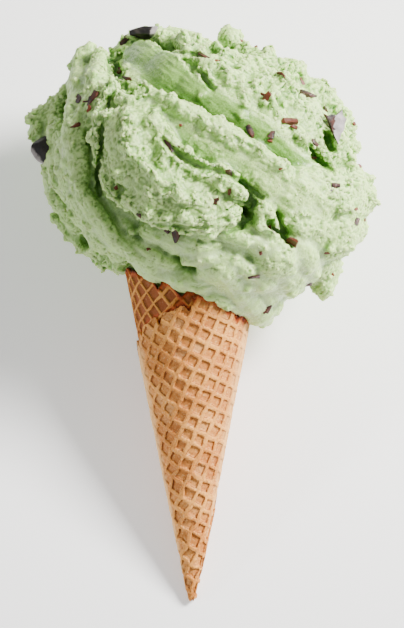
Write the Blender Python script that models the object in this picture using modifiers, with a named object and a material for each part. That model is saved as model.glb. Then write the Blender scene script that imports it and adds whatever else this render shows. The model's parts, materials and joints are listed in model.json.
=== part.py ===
"""An ice cream cone lying on its side.

A wafer, baked flat with a square grid and rolled up, carries a heap of pale green ice cream
that reaches a little way down into it. The heap was built with a spatula, so it is a pile of
broad strokes that overlap like shingles, with flakes of chocolate in it and three larger chunks.

The cone is modelled in its own frame, in which X runs across, Y from the wafer's tip to its
mouth and Z towards the side that shows. An empty then lays it down on the plane Z = 0.
"""

import math
import random

import bmesh
import bpy
from mathutils import Matrix, Vector, noise
from mathutils.bvhtree import BVHTree

MM = 0.001

# Driving dimensions of the wafer
TIP_RADIUS = 1.6 * MM
FLARE = 0.198  # radius gained for each unit of length
MOUTH_Y = 114.0 * MM
MOUTH_SLANT = 9.3 * MM  # the mouth is this much higher on the left and lower on the right
SHEET = 1.2 * MM  # thickness of the baked sheet
WALL = 2.6 * MM  # two turns of the sheet
DISC = 127.7 * MM  # diameter of the flat wafer
EDGE_ANGLE = math.radians(18.8)  # where the disc's free edge starts, in the flat wafer
CELL = 5.1 * MM  # pitch of the baked grid
CELL_DEPTH = 0.85 * MM
GRID_ANGLE = math.radians(-26)
WAFER_TRIANGLES = 5200

# Driving dimensions of the ice cream
HEAP_CENTRE = Vector((4, 158, 0)) * MM
HEAP_RADII = Vector((55, 45, 42)) * MM
HEAP_TURN = math.radians(-22)  # the heap leans over to the right
HEAP_POWER = 2.2  # above 2 the core is a little squarer than an ellipsoid
UNEVENNESS = 0.3  # how much the strokes swell and sink
PLUG_DEPTH = 24 * MM  # how far the ice cream reaches down into the wafer
VOXEL = 1.5 * MM
ICE_CREAM_TRIANGLES = 6000
CLEARANCE = 0.3 * MM  # gap between neighbouring solids
WAFER_GAP = 0.5 * MM

# How the cone lies
LEAN = math.radians(15.8)
TIP_LIFT = 1.37 * MM

ALPHA = math.atan(FLARE)
APEX_Y = -TIP_RADIUS / FLARE


def clear_scene():
    for obj in list(bpy.data.objects):
        bpy.data.objects.remove(obj)


def make_material(name, colour, roughness):
    material = bpy.data.materials.new(name)
    material.use_nodes = True
    shader = material.node_tree.nodes["Principled BSDF"]
    shader.inputs["Base Color"].default_value = (*colour, 1)
    shader.inputs["Roughness"].default_value = roughness
    shader.inputs["Metallic"].default_value = 0.0
    return material


def new_object(name, bm, collection, material=None):
    mesh = bpy.data.meshes.new(name)
    bm.to_mesh(mesh)
    bm.free()
    obj = bpy.data.objects.new(name, mesh)
    collection.objects.link(obj)
    if material:
        mesh.materials.append(material)
    return obj


def bake_modifiers(obj):
    """Replaces the object's mesh by its evaluated one and drops the modifiers."""
    graph = bpy.context.evaluated_depsgraph_get()
    mesh = bpy.data.meshes.new_from_object(obj.evaluated_get(graph))
    obj.modifiers.clear()
    obj.data = mesh


def boolean(obj, operation, solver="EXACT", other=None, collection=None):
    cut = obj.modifiers.new(operation.title(), "BOOLEAN")
    cut.operation = operation
    cut.solver = solver
    if collection:
        cut.operand_type = "COLLECTION"
        cut.collection = collection
    else:
        cut.object = other
    bake_modifiers(obj)


def smooth_path(points, count):
    """Points evenly spaced in parameter on a Catmull-Rom curve through the given ones."""
    points = [Vector(p) for p in points]
    ends = [2 * points[0] - points[1], *points, 2 * points[-1] - points[-2]]
    path = []
    for k in range(count):
        place = k / (count - 1) * (len(points) - 1)
        i = min(int(place), len(points) - 2)
        t = place - i
        a, b, c, d = ends[i : i + 4]
        square = (2 * a - 5 * b + 4 * c - d) * t**2
        cube = (3 * b - a - 3 * c + d) * t**3
        path.append(0.5 * (2 * b + (c - a) * t + square + cube))
    return path


# Wafer


def cone_radius(y):
    return TIP_RADIUS + FLARE * y


def around(turn, radius, y):
    """A point of the wafer. Turn 0 faces the shown side and a quarter turn faces +X."""
    return Vector((radius * math.sin(turn), y, radius * math.cos(turn)))


def mouth_y(turn):
    return MOUTH_Y - MOUTH_SLANT * math.sin(turn)


def free_edge_y(turn):
    """Height of the disc's free edge, which starts at the front and spirals to the tip."""
    rho = DISC * math.cos(EDGE_ANGLE + abs(turn) * math.sin(ALPHA))
    return rho * math.cos(ALPHA) + APEX_Y


def sheet_radius(turn, y):
    """Outer radius of the rolled sheet. It winds inwards as turn grows, and lies flat at the tip."""
    step = SHEET * min(1.0, max(y, 0) / (40 * MM))
    return cone_radius(y) - step * turn / math.tau


def loft(sections, turned, collection, name):
    """Joins equal sections into one closed mesh. Turned sections start and end on the axis."""
    bm = bmesh.new()
    rows = [[bm.verts.new(p) for p in section] for section in sections]
    size = len(rows[0])
    pairs = list(zip(rows, rows[1:] + rows[:1])) if turned else list(zip(rows, rows[1:]))
    for row, following in pairs:
        for i in range(size - 1 if turned else size):
            j = (i + 1) % size
            bm.faces.new((row[i], row[j], following[j], following[i]))
    if not turned:
        bm.faces.new(rows[0])
        bm.faces.new(rows[-1])
    bmesh.ops.remove_doubles(bm, verts=bm.verts, dist=0.01 * MM)
    bmesh.ops.recalc_face_normals(bm, faces=bm.faces)
    return new_object(name, bm, collection)


def shell_profile(turn, outset=0.0):
    """The wall's section at one turn, from the tip up the outside, over the mouth and down inside."""
    overlap = math.radians(60 if outset else 15)
    covered = min(turn / math.tau, (math.tau - turn) / overlap)
    top = mouth_y(turn) + outset
    floor_y = 14 * MM - outset
    inner_top = cone_radius(top) - WALL - outset
    inner_floor = cone_radius(floor_y) - WALL - outset
    profile = [around(turn, 0, -outset)]
    for y in (0.5 * MM, 2 * MM, 20 * MM, 60 * MM, top):
        step = SHEET * min(1.0, y / (40 * MM)) * covered
        blunt = 0.45 * MM if y < MM else 0.0
        profile.append(around(turn, cone_radius(y) - step - blunt + outset, y))
    profile += [around(turn, inner_top, top), around(turn, inner_floor, floor_y), around(turn, 0, floor_y)]
    return profile


def roll_wall(name, collection, sides=36, outset=0.0):
    turns = [math.tau * i / sides for i in range(sides)]
    return loft([shell_profile(turn, outset) for turn in turns], True, collection, name)


def roll_flap(name, collection, columns=36):
    """The last turn of the sheet, which lies over the wall and ends in the free edge."""
    sections = []
    for i in range(columns + 1):
        turn = math.radians(10) - (math.radians(10) + 0.96 * math.tau) * i / columns
        top = min(free_edge_y(turn), mouth_y(turn))
        dive = 0.5 * MM * max(0.0, turn) / math.radians(10)
        outside = []
        inside = []
        for share in (0.0, 0.35, 0.7, 1.0):
            y = 1.5 * MM + share * (top - 1.5 * MM)
            radius = sheet_radius(turn, y) - dive
            outside.append(around(turn, radius, y))
            inside.append(around(turn, max(0.2 * MM, radius - SHEET - 0.4 * MM), y))
        sections.append(outside + inside[::-1])
    return loft(sections, False, collection, name)


def on_sheet(p, q, height):
    """Rolls a point of the flat sheet on to the cone. p and q run along the baked grid."""
    x = p * math.cos(GRID_ANGLE) - q * math.sin(GRID_ANGLE)
    y = p * math.sin(GRID_ANGLE) + q * math.cos(GRID_ANGLE)
    turn = math.atan2(x, y) / math.sin(ALPHA)
    along = math.hypot(x, y) * math.cos(ALPHA) + APEX_Y
    return turn, along, around(turn, sheet_radius(turn, along) + height, along)


def is_shown(turn, y):
    """Whether this point of the sheet lies on the outside of the roll."""
    if turn < 0:
        return turn > -0.93 * math.tau and y < free_edge_y(turn)
    return turn < 0.98 * math.tau and free_edge_y(turn - math.tau) < y < mouth_y(turn)


def cell_cutters(name, collection, first_turn, last_turn):
    """One frustum for each baked cell between two turns. Half a rib is a share of the pitch."""
    bm = bmesh.new()
    reach = int(DISC / CELL) + 1
    for i in range(-reach, reach):
        for j in range(-reach, reach):
            centre_turn, centre_y, _ = on_sheet((i + 0.5) * CELL, (j + 0.5) * CELL, 0)
            if centre_y < 16 * MM or not first_turn < centre_turn < last_turn:
                continue
            rib = 0.15 if centre_turn > math.pi else 0.21
            rings = []
            corners_shown = 0
            for inset, height in ((rib - 0.06, 0.6 * MM), (rib + 0.08, -CELL_DEPTH)):
                ring = []
                for a, b in ((inset, inset), (1 - inset, inset), (1 - inset, 1 - inset), (inset, 1 - inset)):
                    turn, y, point = on_sheet((i + a) * CELL, (j + b) * CELL, height)
                    corners_shown += is_shown(turn, y)
                    ring.append(point)
                rings.append(ring)
            if corners_shown < 4:
                continue
            corners = [bm.verts.new(p) for ring in rings for p in ring]
            for face in ((0, 1, 2, 3), (7, 6, 5, 4), (0, 4, 5, 1), (1, 5, 6, 2), (2, 6, 7, 3), (3, 7, 4, 0)):
                bm.faces.new([corners[k] for k in face])
    bmesh.ops.recalc_face_normals(bm, faces=bm.faces)
    return new_object(name, bm, collection)


def build_wafer(collection, helpers, material):
    """The inner turn is baked first, so that the flap can lie over its outermost cells."""
    wafer = roll_wall("wafer_cone", collection)
    meet = math.radians(63)
    boolean(wafer, "DIFFERENCE", other=cell_cutters("inner_cells", helpers, meet, math.tau))
    boolean(wafer, "UNION", "MANIFOLD", other=roll_flap("flap", helpers))
    boolean(wafer, "DIFFERENCE", other=cell_cutters("outer_cells", helpers, -5, meet))
    keep_largest_shell(wafer)
    thin = wafer.modifiers.new("Thin", "DECIMATE")
    thin.ratio = WAFER_TRIANGLES / sum(len(p.vertices) - 2 for p in wafer.data.polygons)
    thin.use_collapse_triangulate = True
    bake_modifiers(wafer)
    wafer.data.materials.clear()
    wafer.data.materials.append(material)
    return wafer


# Ice cream

# Each stroke of the spatula lies on the core: its path as (x, y) in mm seen from the shown
# side, its half width, its half thickness, how far its left edge tilts up in degrees, and
# how far it stands off the core in mm.
FRONT_STROKES = (
    ("outer_left", ((-48, 186), (-50, 177), (-46, 163), (-43, 150), (-37, 138), (-28, 129)), 8, 5, 15, 0),
    ("left_ear", ((-50, 186), (-55, 181), (-57, 176)), 5, 5, 0, 0),
    ("left_crest", ((-36, 202), (-39, 193), (-42, 180), (-42, 165), (-38, 150), (-28, 136), (-15, 126)),
     6, 4, 35, 2),
    ("left_head", ((-40, 201), (-39, 194), (-40, 186)), 6, 5, 0, 2),
    ("left_inner", ((-35, 197), (-37, 182), (-38, 166), (-36, 152), (-29, 140), (-16, 130)), 5, 3, 20, -3),
    ("lobe_body", ((-22, 182), (-20, 171), (-16, 161), (-7, 152), (6, 147)), 12, 7, -5, 4),
    ("lobe_left", ((-29, 187), (-30, 178), (-30, 166), (-28, 156), (-22, 148)), 5, 5, 0, 3),
    ("lobe_foot", ((-20, 149), (-12, 144), (-2, 142), (9, 142), (15, 144)), 5, 5, 0, 5),
    ("lobe_tooth", ((-13, 178), (-11, 172), (-6, 165), (3, 159), (12, 156), (17, 151)), 5, 4, 30, 6),
    ("lobe_top", ((-31, 186), (-25, 188), (-20, 186)), 4, 4, 0, 5),
    ("lobe_fold", ((-20, 176), (-18, 165), (-11, 155), (0, 149)), 4, 4, 0, 9),
    ("ridge", ((-16, 182), (-5, 177), (6, 170), (17, 164), (28, 156), (38, 148), (48, 139)), 9, 4, 32, 2),
    ("ridge_crest", ((-18, 187), (-7, 181), (4, 175), (14, 170), (24, 164), (34, 157), (44, 149)),
     3.5, 3.5, 0, 6),
    ("valley", ((-20, 202), (-11, 196), (-1, 189), (9, 182), (20, 175), (30, 168), (40, 159)), 11, 4, 30, 0),
    ("valley_crest", ((-6, 204), (2, 197), (12, 190), (22, 184), (32, 176), (41, 167)), 4, 4, 0, 4),
    ("crumbly", ((5, 200), (17, 194), (30, 186), (41, 177), (49, 167), (56, 157)), 9, 6, 10, 2),
    ("crumbly_top", ((14, 203), (26, 197), (39, 190), (49, 181), (57, 168)), 6, 6, 0, 1),
    ("top_left", ((-27, 203), (-17, 207), (-6, 205), (6, 203)), 6, 5, 10, 0),
    ("top_ridge", ((-20, 207), (-10, 208), (2, 205), (13, 204)), 4, 5, 10, 0),
    ("top_knob", ((13, 206), (17, 208)), 4, 4, 0, 1),
    ("right_lobe", ((40, 153), (50, 151), (57, 150), (62, 150)), 12, 8, 0, 1),
    ("right_low", ((42, 141), (52, 138), (59, 138)), 11, 8, 0, 1),
    ("right_hang", ((44, 131), (48, 122), (48, 115)), 7, 6, 10, 1),
    ("middle_hang", ((24, 136), (31, 127), (37, 119)), 8, 6, 10, 1),
    ("leaf", ((26, 147), (26, 142), (29, 136)), 4, 4, 0, 3),
    ("under_lobe", ((-14, 136), (0, 133), (14, 132), (27, 128)), 8, 6, 0, -2),
    ("rim_lobe", ((-20, 128), (-11, 122), (0, 119), (9, 117)), 6, 5, 10, 0),
    ("drip", ((4, 130), (12, 122), (19, 113), (26, 105)), 8, 6, 10, 0),
    ("drip_side", ((20, 126), (28, 119), (37, 114)), 8, 6, 0, -2),
    ("left_low", ((-36, 140), (-26, 133), (-16, 128), (-6, 123)), 6, 4, 15, 0),
    ("rim_crumb", ((-36, 129), (-31, 127), (-26, 125)), 4, 4, 0, 0),
)

# Creases and pits between the strokes: path in mm, half width in mm and depth in mm.
GROOVES = (
    ("left_crevice", ((-33, 179), (-34, 168), (-35, 158), (-35, 148), (-32, 142)), 1.8, 8),
    ("under_ridge", ((-9, 171), (0, 166), (8, 162), (17, 156), (24, 150)), 2, 6),
    ("above_ridge", ((-14, 187), (-4, 183), (8, 177), (18, 171), (27, 165), (36, 158)), 1.5, 5),
    ("top_pocket", ((-31, 194), (-28, 194), (-23, 197)), 3.2, 7),
    ("top_pit", ((-1, 200), (1, 198)), 2.6, 5),
    ("second_pit", ((5, 194), (8, 191)), 2, 4),
    ("green_pit", ((48, 175), (51, 172), (52, 167)), 2.4, 5),
    ("deep_pit", ((19, 145), (21, 142)), 2.4, 8),
    ("low_pit", ((30, 140), (33, 137), (37, 133)), 2, 7),
    ("under_lobe", ((-14, 139), (-4, 138), (8, 138)), 1.5, 4),
    ("right_crease", ((40, 160), (47, 154), (52, 150), (60, 144)), 1.3, 3),
    ("rim_groove", ((-8, 124), (-3, 122), (3, 123)), 1.5, 4),
    ("hang_gap", ((40, 127), (41, 121), (42, 116)), 1.6, 6),
)

# Behind, where the photograph doesn't reach, the strokes follow a rule: they run down from
# the top with a slow turn, side by side.
BACK_STROKES = 9
BACK_FROM = math.radians(98)
BACK_TO = math.radians(250)

# Flakes of chocolate on the shown side: (x, y, length, width, turn in degrees), in mm.
SHOWN_FLAKES = (
    (-24.5, 207, 4, 2, 40), (33, 195, 3.5, 1.6, -10), (28, 186.5, 4.5, 2.6, 60), (43, 187.5, 7, 2, -12),
    (49.5, 182, 4, 2, 30), (35.5, 178, 5.5, 2.6, 10), (29.5, 172.5, 2.6, 2.2, 0), (22, 173.5, 4.4, 2, -70),
    (45, 170, 3.4, 1.8, -40), (-8.5, 169, 5, 1.4, -65), (13.5, 158.5, 3, 2, -30), (8.5, 148, 2.6, 1.8, 20),
    (-20, 143, 4.4, 1.2, -35), (-6, 136, 5.5, 4, 70), (61, 140.5, 3.2, 2.2, 10), (53, 153.5, 3, 1.8, 0),
    (37, 133, 3.6, 2.6, -40), (29, 108, 3.4, 2, 80), (43.5, 117.5, 2.4, 2, 0), (23, 120, 3.4, 1.4, 0),
    (-37, 186, 5, 1.8, 60), (-42, 186, 4.4, 1.8, 75), (-43, 176, 2.6, 2.2, 0), (5, 201.5, 4.4, 1.2, -30),
)
HIDDEN_FLAKES = 22


def core_surface(direction):
    """The point of the core in this direction from its centre, and the normal there."""
    turn = Matrix.Rotation(HEAP_TURN, 3, "Z")
    local = turn.inverted() @ Vector(direction)
    scaled = [abs(d) / r for d, r in zip(local, HEAP_RADII)]
    reach = sum(s**HEAP_POWER for s in scaled) ** (-1 / HEAP_POWER)
    offset = local * reach
    slope = [math.copysign(abs(o / r) ** (HEAP_POWER - 1) / r, o) for o, r in zip(offset, HEAP_RADII)]
    return HEAP_CENTRE + turn @ offset, (turn @ Vector(slope)).normalized()


def seen_from_front(x, y):
    """The point of the core that shows at this place, or beyond its outline the nearest."""
    flat = Vector((x * MM, y * MM, 0)) - HEAP_CENTRE
    local = Matrix.Rotation(-HEAP_TURN, 3, "Z") @ flat
    share = sum(abs(o / r) ** HEAP_POWER for o, r in zip(local.xy, HEAP_RADII.xy))
    depth = HEAP_RADII.z * max(0.0, 1 - share) ** (1 / HEAP_POWER)
    _, normal = core_surface(flat + Vector((0, 0, max(depth, 4 * MM))))
    return Vector((x * MM, y * MM, depth)), normal


def seen_from_behind(longitude, latitude):
    flat = math.cos(latitude)
    direction = Vector((math.sin(longitude) * flat, math.sin(latitude), math.cos(longitude) * flat))
    return core_surface(direction)


class Beads:
    """Many ellipsoids in one mesh, each a round template squeezed by a matrix."""

    def __init__(self):
        bm = bmesh.new()
        bmesh.ops.create_icosphere(bm, subdivisions=2, radius=1)
        self.corners = [v.co.copy() for v in bm.verts]
        self.sides = [[v.index for v in face.verts] for face in bm.faces]
        bm.free()
        self.points = []
        self.faces = []

    def add(self, matrix):
        first = len(self.points)
        self.points += [matrix @ corner for corner in self.corners]
        self.faces += [[first + i for i in side] for side in self.sides]

    def lay_stroke(self, places, normals, half_width, half_thickness, tilt, lift):
        """A stroke is a row of flattened beads, close enough together to make one ribbon."""
        length = sum((a - b).length for a, b in zip(places, places[1:]))
        count = max(12, round(length / (0.25 * half_width * MM)))
        path = smooth_path(places, count)
        ups = smooth_path(normals, count)
        for k, (place, up) in enumerate(zip(path, ups)):
            girth = 0.6 + 0.4 * (1 - abs(2 * k / (count - 1) - 1) ** 3)
            girth *= 1 + UNEVENNESS * noise.noise(place / (7 * MM))
            uneven_lift = lift + 5 * UNEVENNESS * noise.noise(place / (9 * MM) + Vector((0, 0, 40)))
            tangent = (path[min(k + 1, count - 1)] - path[max(k - 1, 0)]).normalized()
            up = (up - up.dot(tangent) * tangent).normalized()
            tilted = Matrix.Rotation(math.radians(tilt), 3, tangent)
            frame = Matrix((tangent, tilted @ up.cross(tangent), tilted @ up)).transposed().to_4x4()
            size = Vector((0.8 * half_width, half_width * girth, half_thickness * girth, 1000)) * MM
            self.add(Matrix.Translation(place + up * uneven_lift * MM) @ frame @ Matrix.Diagonal(size))


def lay_heap():
    """The core and all the strokes, still as separate shells in one mesh."""
    beads = Beads()
    bm = bmesh.new()
    bmesh.ops.create_icosphere(bm, subdivisions=4, radius=1)
    beads.points += [HEAP_CENTRE.lerp(core_surface(v.co)[0], 0.96) for v in bm.verts]
    beads.faces += [[v.index for v in face.verts] for face in bm.faces]
    bm.free()
    for _, places, half_width, half_thickness, tilt, lift in FRONT_STROKES:
        laid = [seen_from_front(x, y) for x, y in places]
        beads.lay_stroke([p for p, _ in laid], [n for _, n in laid], half_width, half_thickness, tilt, lift)
    for i in range(BACK_STROKES):
        longitude = BACK_FROM + (BACK_TO - BACK_FROM) * i / (BACK_STROKES - 1)
        laid = []
        for k in range(6):
            latitude = math.radians(64 - 22 * k)
            laid.append(seen_from_behind(longitude + math.radians(8 * (k - 2.5)), latitude))
        lift = 2 * math.sin(2.4 * i) - 0.5
        beads.lay_stroke([p for p, _ in laid], [n for _, n in laid], 10, 4, 22, lift)
    collar = []
    outward = []
    for k in range(13):
        turn = math.radians(50 + 18 * k)
        y = mouth_y(turn) + 6 * MM
        collar.append(around(turn, cone_radius(y) - 1 * MM, y))
        outward.append(around(turn, 1, 0))
    beads.lay_stroke(collar, outward, 8, 5, 0, 0)
    return beads


def fuse_beads(beads, name, collection, voxel):
    """Turns the separate shells into one closed skin."""
    mesh = bpy.data.meshes.new(name)
    mesh.from_pydata(beads.points, [], beads.faces)
    obj = bpy.data.objects.new(name, mesh)
    collection.objects.link(obj)
    fuse = obj.modifiers.new("Fuse", "REMESH")
    fuse.mode = "VOXEL"
    fuse.voxel_size = voxel
    soften = obj.modifiers.new("Soften", "SMOOTH")
    soften.factor = 0.5
    soften.iterations = 2
    bake_modifiers(obj)
    return obj


def lay_grooves(heap):
    """The grooves as upright beads on the heap's real surface."""
    tree = BVHTree.FromObject(heap, bpy.context.evaluated_depsgraph_get())
    grooves = Beads()
    for _, places, half_width, depth in GROOVES:
        laid = []
        normals = []
        for x, y, _ in smooth_path([(x, y, 0) for x, y in places], 4 * len(places)):
            hit = tree.ray_cast(Vector((x, y, 200)) * MM, Vector((0, 0, -1)))[0]
            _, normal = seen_from_front(x, y)
            if hit:
                laid.append(hit)
                normals.append(normal)
        grooves.lay_stroke(laid, normals, half_width, depth, 0, 0)
    return grooves


def heap_up(collection, helpers, material):
    """Fuses the strokes, presses the grooves in and thins the mesh out."""
    heap = fuse_beads(lay_heap(), "ice_cream", collection, VOXEL)
    heap.data.materials.append(material)
    keep_largest_shell(heap)
    grooves = fuse_beads(lay_grooves(heap), "grooves", helpers, VOXEL / 2)
    boolean(heap, "DIFFERENCE", "MANIFOLD", other=grooves)
    keep_largest_shell(heap)
    triangles = sum(len(p.vertices) - 2 for p in heap.data.polygons)
    thin = heap.modifiers.new("Thin", "DECIMATE")
    thin.ratio = ICE_CREAM_TRIANGLES / triangles
    thin.use_collapse_triangulate = True
    bake_modifiers(heap)
    drop_fins(heap)
    return heap


def drop_fins(obj):
    """Removes triangles that thinning left hanging by a single edge."""
    bm = bmesh.new()
    bm.from_mesh(obj.data)
    fins = [f for f in bm.faces if sum(len(e.link_faces) == 1 for e in f.edges) >= 2]
    bmesh.ops.delete(bm, geom=fins, context="FACES")
    bm.to_mesh(obj.data)
    bm.free()


def keep_largest_shell(obj):
    """Removes the pockets that the strokes closed in and anything that came loose."""
    bm = bmesh.new()
    bm.from_mesh(obj.data)
    unseen = set(bm.verts)
    shells = []
    while unseen:
        shell = []
        front = [unseen.pop()]
        while front:
            vert = front.pop()
            shell.append(vert)
            for edge in vert.link_edges:
                other = edge.other_vert(vert)
                if other in unseen:
                    unseen.remove(other)
                    front.append(other)
        shells.append(shell)
    shells.sort(key=len)
    for shell in shells[:-1]:
        bmesh.ops.delete(bm, geom=shell, context="VERTS")
    bm.to_mesh(obj.data)
    bm.free()


def box(name, size, place, collection):
    bm = bmesh.new()
    bmesh.ops.create_cube(bm, size=1, matrix=Matrix.Translation(place) @ Matrix.Diagonal((*size, 1)))
    return new_object(name, bm, collection)


def flake_points(tree):
    """Where the flakes lie: (place, normal, length, width, turn). Those behind follow a rule."""
    found = []
    for x, y, length, width, turn in SHOWN_FLAKES:
        place, normal, _, _ = tree.ray_cast(Vector((x, y, 200)) * MM, Vector((0, 0, -1)))
        if place:
            found.append((place, normal, length * MM, width * MM, math.radians(turn)))
    rng = random.Random(7)
    for k in range(HIDDEN_FLAKES):
        latitude = math.asin(0.9 - 1.5 * (k + 0.5) / HIDDEN_FLAKES)
        longitude = BACK_FROM + (BACK_TO - BACK_FROM) * ((k * 0.618 + 0.05) % 1)
        outside, _ = seen_from_behind(longitude, latitude)
        away = (outside - HEAP_CENTRE).normalized()
        place, normal, _, _ = tree.ray_cast(HEAP_CENTRE + away * 0.2, -away)
        if place:
            size = rng.uniform(2.2, 5) * MM
            found.append((place, normal, size, size * rng.uniform(0.35, 0.6), rng.uniform(0, math.pi)))
    return found


def build_flakes(tree, rest_height):
    """Broken boards of chocolate, half sunk, to be fused to the ice cream."""
    flakes = bpy.data.collections.new("flakes")
    bpy.context.scene.collection.children.link(flakes)
    rng = random.Random(3)
    for number, (place, normal, length, width, turn) in enumerate(flake_points(tree)):
        if rest_height(place) < 4 * MM or mouth_is_near(place):
            continue
        frame = Vector((0, 0, 1)).rotation_difference(normal).to_matrix().to_4x4()
        spin = Matrix.Rotation(turn, 4, "Z") @ Matrix.Rotation(rng.uniform(-0.35, 0.35), 4, "X")
        bm = bmesh.new()
        bmesh.ops.create_cone(bm, segments=5, radius1=0.5, radius2=0.42, depth=1, cap_ends=True)
        for vert in bm.verts:
            vert.co.x += rng.uniform(-0.09, 0.09)
            vert.co.y += rng.uniform(-0.09, 0.09)
        size = Matrix.Diagonal((length, width, 2 * MM, 1))
        bmesh.ops.transform(bm, matrix=Matrix.Translation(place) @ frame @ spin @ size, verts=bm.verts)
        new_object(f"flake_{number}", bm, flakes)
    return flakes


def mouth_is_near(place):
    """Flakes stay clear of the wafer, so that the two solids don't meet."""
    return math.hypot(place.x, place.z) < cone_radius(place.y) + 4 * MM and place.y < MOUTH_Y + 14 * MM


# The larger chunks lie in pockets of the ice cream: name, place in mm, size in mm, turns in degrees.
CHUNKS = (
    ("chocolate_chunk_left", (-54.5, 168.5, 8), (8, 12, 9), (0, -20, 20)),
    ("chocolate_chunk_top", (-17.5, 210, 6), (10, 5, 7), (0, 0, 8)),
    ("chocolate_chunk_right", (53.5, 176, 22), (4.5, 12, 3.5), (20, 30, 12)),
)


def make_chunk(name, place, size, turns, collection, material=None, grow=0.0):
    """A broken lump with flat faces."""
    rng = random.Random(name)
    bm = bmesh.new()
    bmesh.ops.create_icosphere(bm, subdivisions=1, radius=0.5)
    for vert in bm.verts:
        vert.co *= rng.uniform(0.95, 1.25)
    size = Matrix.Diagonal((*[s * MM + 2 * grow for s in size], 1))
    bmesh.ops.transform(bm, matrix=size, verts=bm.verts)
    chunk = new_object(name, bm, collection, material)
    chunk.location = Vector(place) * MM
    chunk.rotation_euler = [math.radians(t) for t in turns]
    return chunk


def main():
    clear_scene()
    scene = bpy.context.scene
    collection = bpy.data.collections.new("ice_cream_cone")
    helpers = bpy.data.collections.new("cutters")
    helpers.hide_render = True
    for made in (collection, helpers):
        scene.collection.children.link(made)
    wafer_material = make_material("baked_wafer", (0.62, 0.37, 0.19), 0.7)
    cream_material = make_material("green_ice_cream", (0.55, 0.68, 0.42), 0.55)
    chocolate_material = make_material("dark_chocolate", (0.045, 0.02, 0.012), 0.5)

    wafer = build_wafer(collection, helpers, wafer_material)
    ice_cream = heap_up(collection, helpers, cream_material)
    plug_end = MOUTH_Y - PLUG_DEPTH
    plug_top = MOUTH_Y + 16 * MM
    bm = bmesh.new()
    bmesh.ops.create_cone(
        bm,
        segments=28,
        radius1=cone_radius(plug_end) - WALL - WAFER_GAP,
        radius2=cone_radius(plug_top) - WALL - WAFER_GAP,
        depth=plug_top - plug_end,
        cap_ends=True,
        matrix=Matrix.Translation((0, (plug_end + plug_top) / 2, 0)) @ Matrix.Rotation(-math.pi / 2, 4, "X"),
    )
    boolean(ice_cream, "UNION", other=new_object("plug", bm, helpers))

    lying = Matrix.Rotation(LEAN, 4, "X")
    rest = lying @ HEAP_CENTRE
    lying.translation = Vector((0, -rest.y, TIP_LIFT))

    def rest_height(place):
        return (lying @ place).z

    tree = BVHTree.FromObject(ice_cream, bpy.context.evaluated_depsgraph_get())
    flakes = build_flakes(tree, rest_height)
    boolean(ice_cream, "UNION", "MANIFOLD", collection=flakes)
    for obj in list(flakes.objects):
        bpy.data.objects.remove(obj)

    boolean(ice_cream, "DIFFERENCE", other=roll_wall("wall_cutter", helpers, outset=WAFER_GAP))
    floor_box = box("floor_cutter", Vector((0.3, 0.3, 0.1)), Vector((0, 0, -0.05)), helpers)
    floor_box.matrix_world = lying.inverted()
    boolean(ice_cream, "DIFFERENCE", other=floor_box)

    parts = [wafer, ice_cream]
    for chunk in CHUNKS:
        pocket = make_chunk(*chunk, helpers, grow=CLEARANCE)
        pocket.name = chunk[0] + "_pocket"
        boolean(ice_cream, "DIFFERENCE", other=pocket)
        parts.append(make_chunk(*chunk, collection, chocolate_material))
    keep_largest_shell(ice_cream)

    lie_down = bpy.data.objects.new("lie_down", None)
    collection.objects.link(lie_down)
    lie_down.matrix_world = lying
    for obj in parts:
        obj.parent = lie_down
    for obj in list(helpers.objects):
        obj.hide_render = True
        obj.display_type = "WIRE"


main()
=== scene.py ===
import json
import math
import random

import bmesh
import bpy
import numpy as np
from mathutils import Euler, Matrix, Vector, noise
from mathutils.bvhtree import BVHTree
from mathutils.kdtree import KDTree

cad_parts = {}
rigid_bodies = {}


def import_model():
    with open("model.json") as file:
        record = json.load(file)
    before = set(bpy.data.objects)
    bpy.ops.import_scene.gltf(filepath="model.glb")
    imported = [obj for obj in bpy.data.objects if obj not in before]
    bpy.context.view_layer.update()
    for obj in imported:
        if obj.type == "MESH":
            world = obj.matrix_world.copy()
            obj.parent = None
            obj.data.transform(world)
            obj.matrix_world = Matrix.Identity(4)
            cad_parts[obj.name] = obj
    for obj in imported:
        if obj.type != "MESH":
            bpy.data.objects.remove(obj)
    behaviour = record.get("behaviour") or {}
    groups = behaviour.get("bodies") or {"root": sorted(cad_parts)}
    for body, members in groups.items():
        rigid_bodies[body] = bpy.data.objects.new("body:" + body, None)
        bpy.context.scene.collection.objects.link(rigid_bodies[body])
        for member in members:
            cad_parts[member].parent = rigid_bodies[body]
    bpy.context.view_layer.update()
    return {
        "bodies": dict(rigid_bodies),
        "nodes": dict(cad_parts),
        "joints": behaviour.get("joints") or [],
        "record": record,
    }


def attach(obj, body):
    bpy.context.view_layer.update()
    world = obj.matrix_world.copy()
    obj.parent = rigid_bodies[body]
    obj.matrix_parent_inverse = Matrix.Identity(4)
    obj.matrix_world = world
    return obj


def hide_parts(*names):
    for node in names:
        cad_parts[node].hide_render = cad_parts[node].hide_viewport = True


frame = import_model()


# The rolled wafer.
# A thin disc of sweet batter is baked between two hot plates that press a square grid into
# it, and is rolled up while it is soft. The last turn ends in a ragged free edge.

mm = 0.001
tip_radius = 1.6 * mm
flare = 0.198  # radius gained for each unit of length
mouth_height = 114.0 * mm
mouth_slant = 9.3 * mm
sheet = 1.2 * mm
wafer_wall = 2.6 * mm
disc = 127.7 * mm
edge_start = math.radians(18.8)
cell = 5.1 * mm
grid_angle = math.radians(-26)
half_angle = math.atan(flare)
apex = -tip_radius / flare

# The cone is shaped upright in its own frame and then laid down.
lean = math.radians(15.8)
lying = Matrix.Rotation(lean, 4, "X")
heap_centre = Vector((4, 158, 0)) * mm
lying.translation = Vector((0, -(lying @ heap_centre).y, 1.37 * mm))


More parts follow.
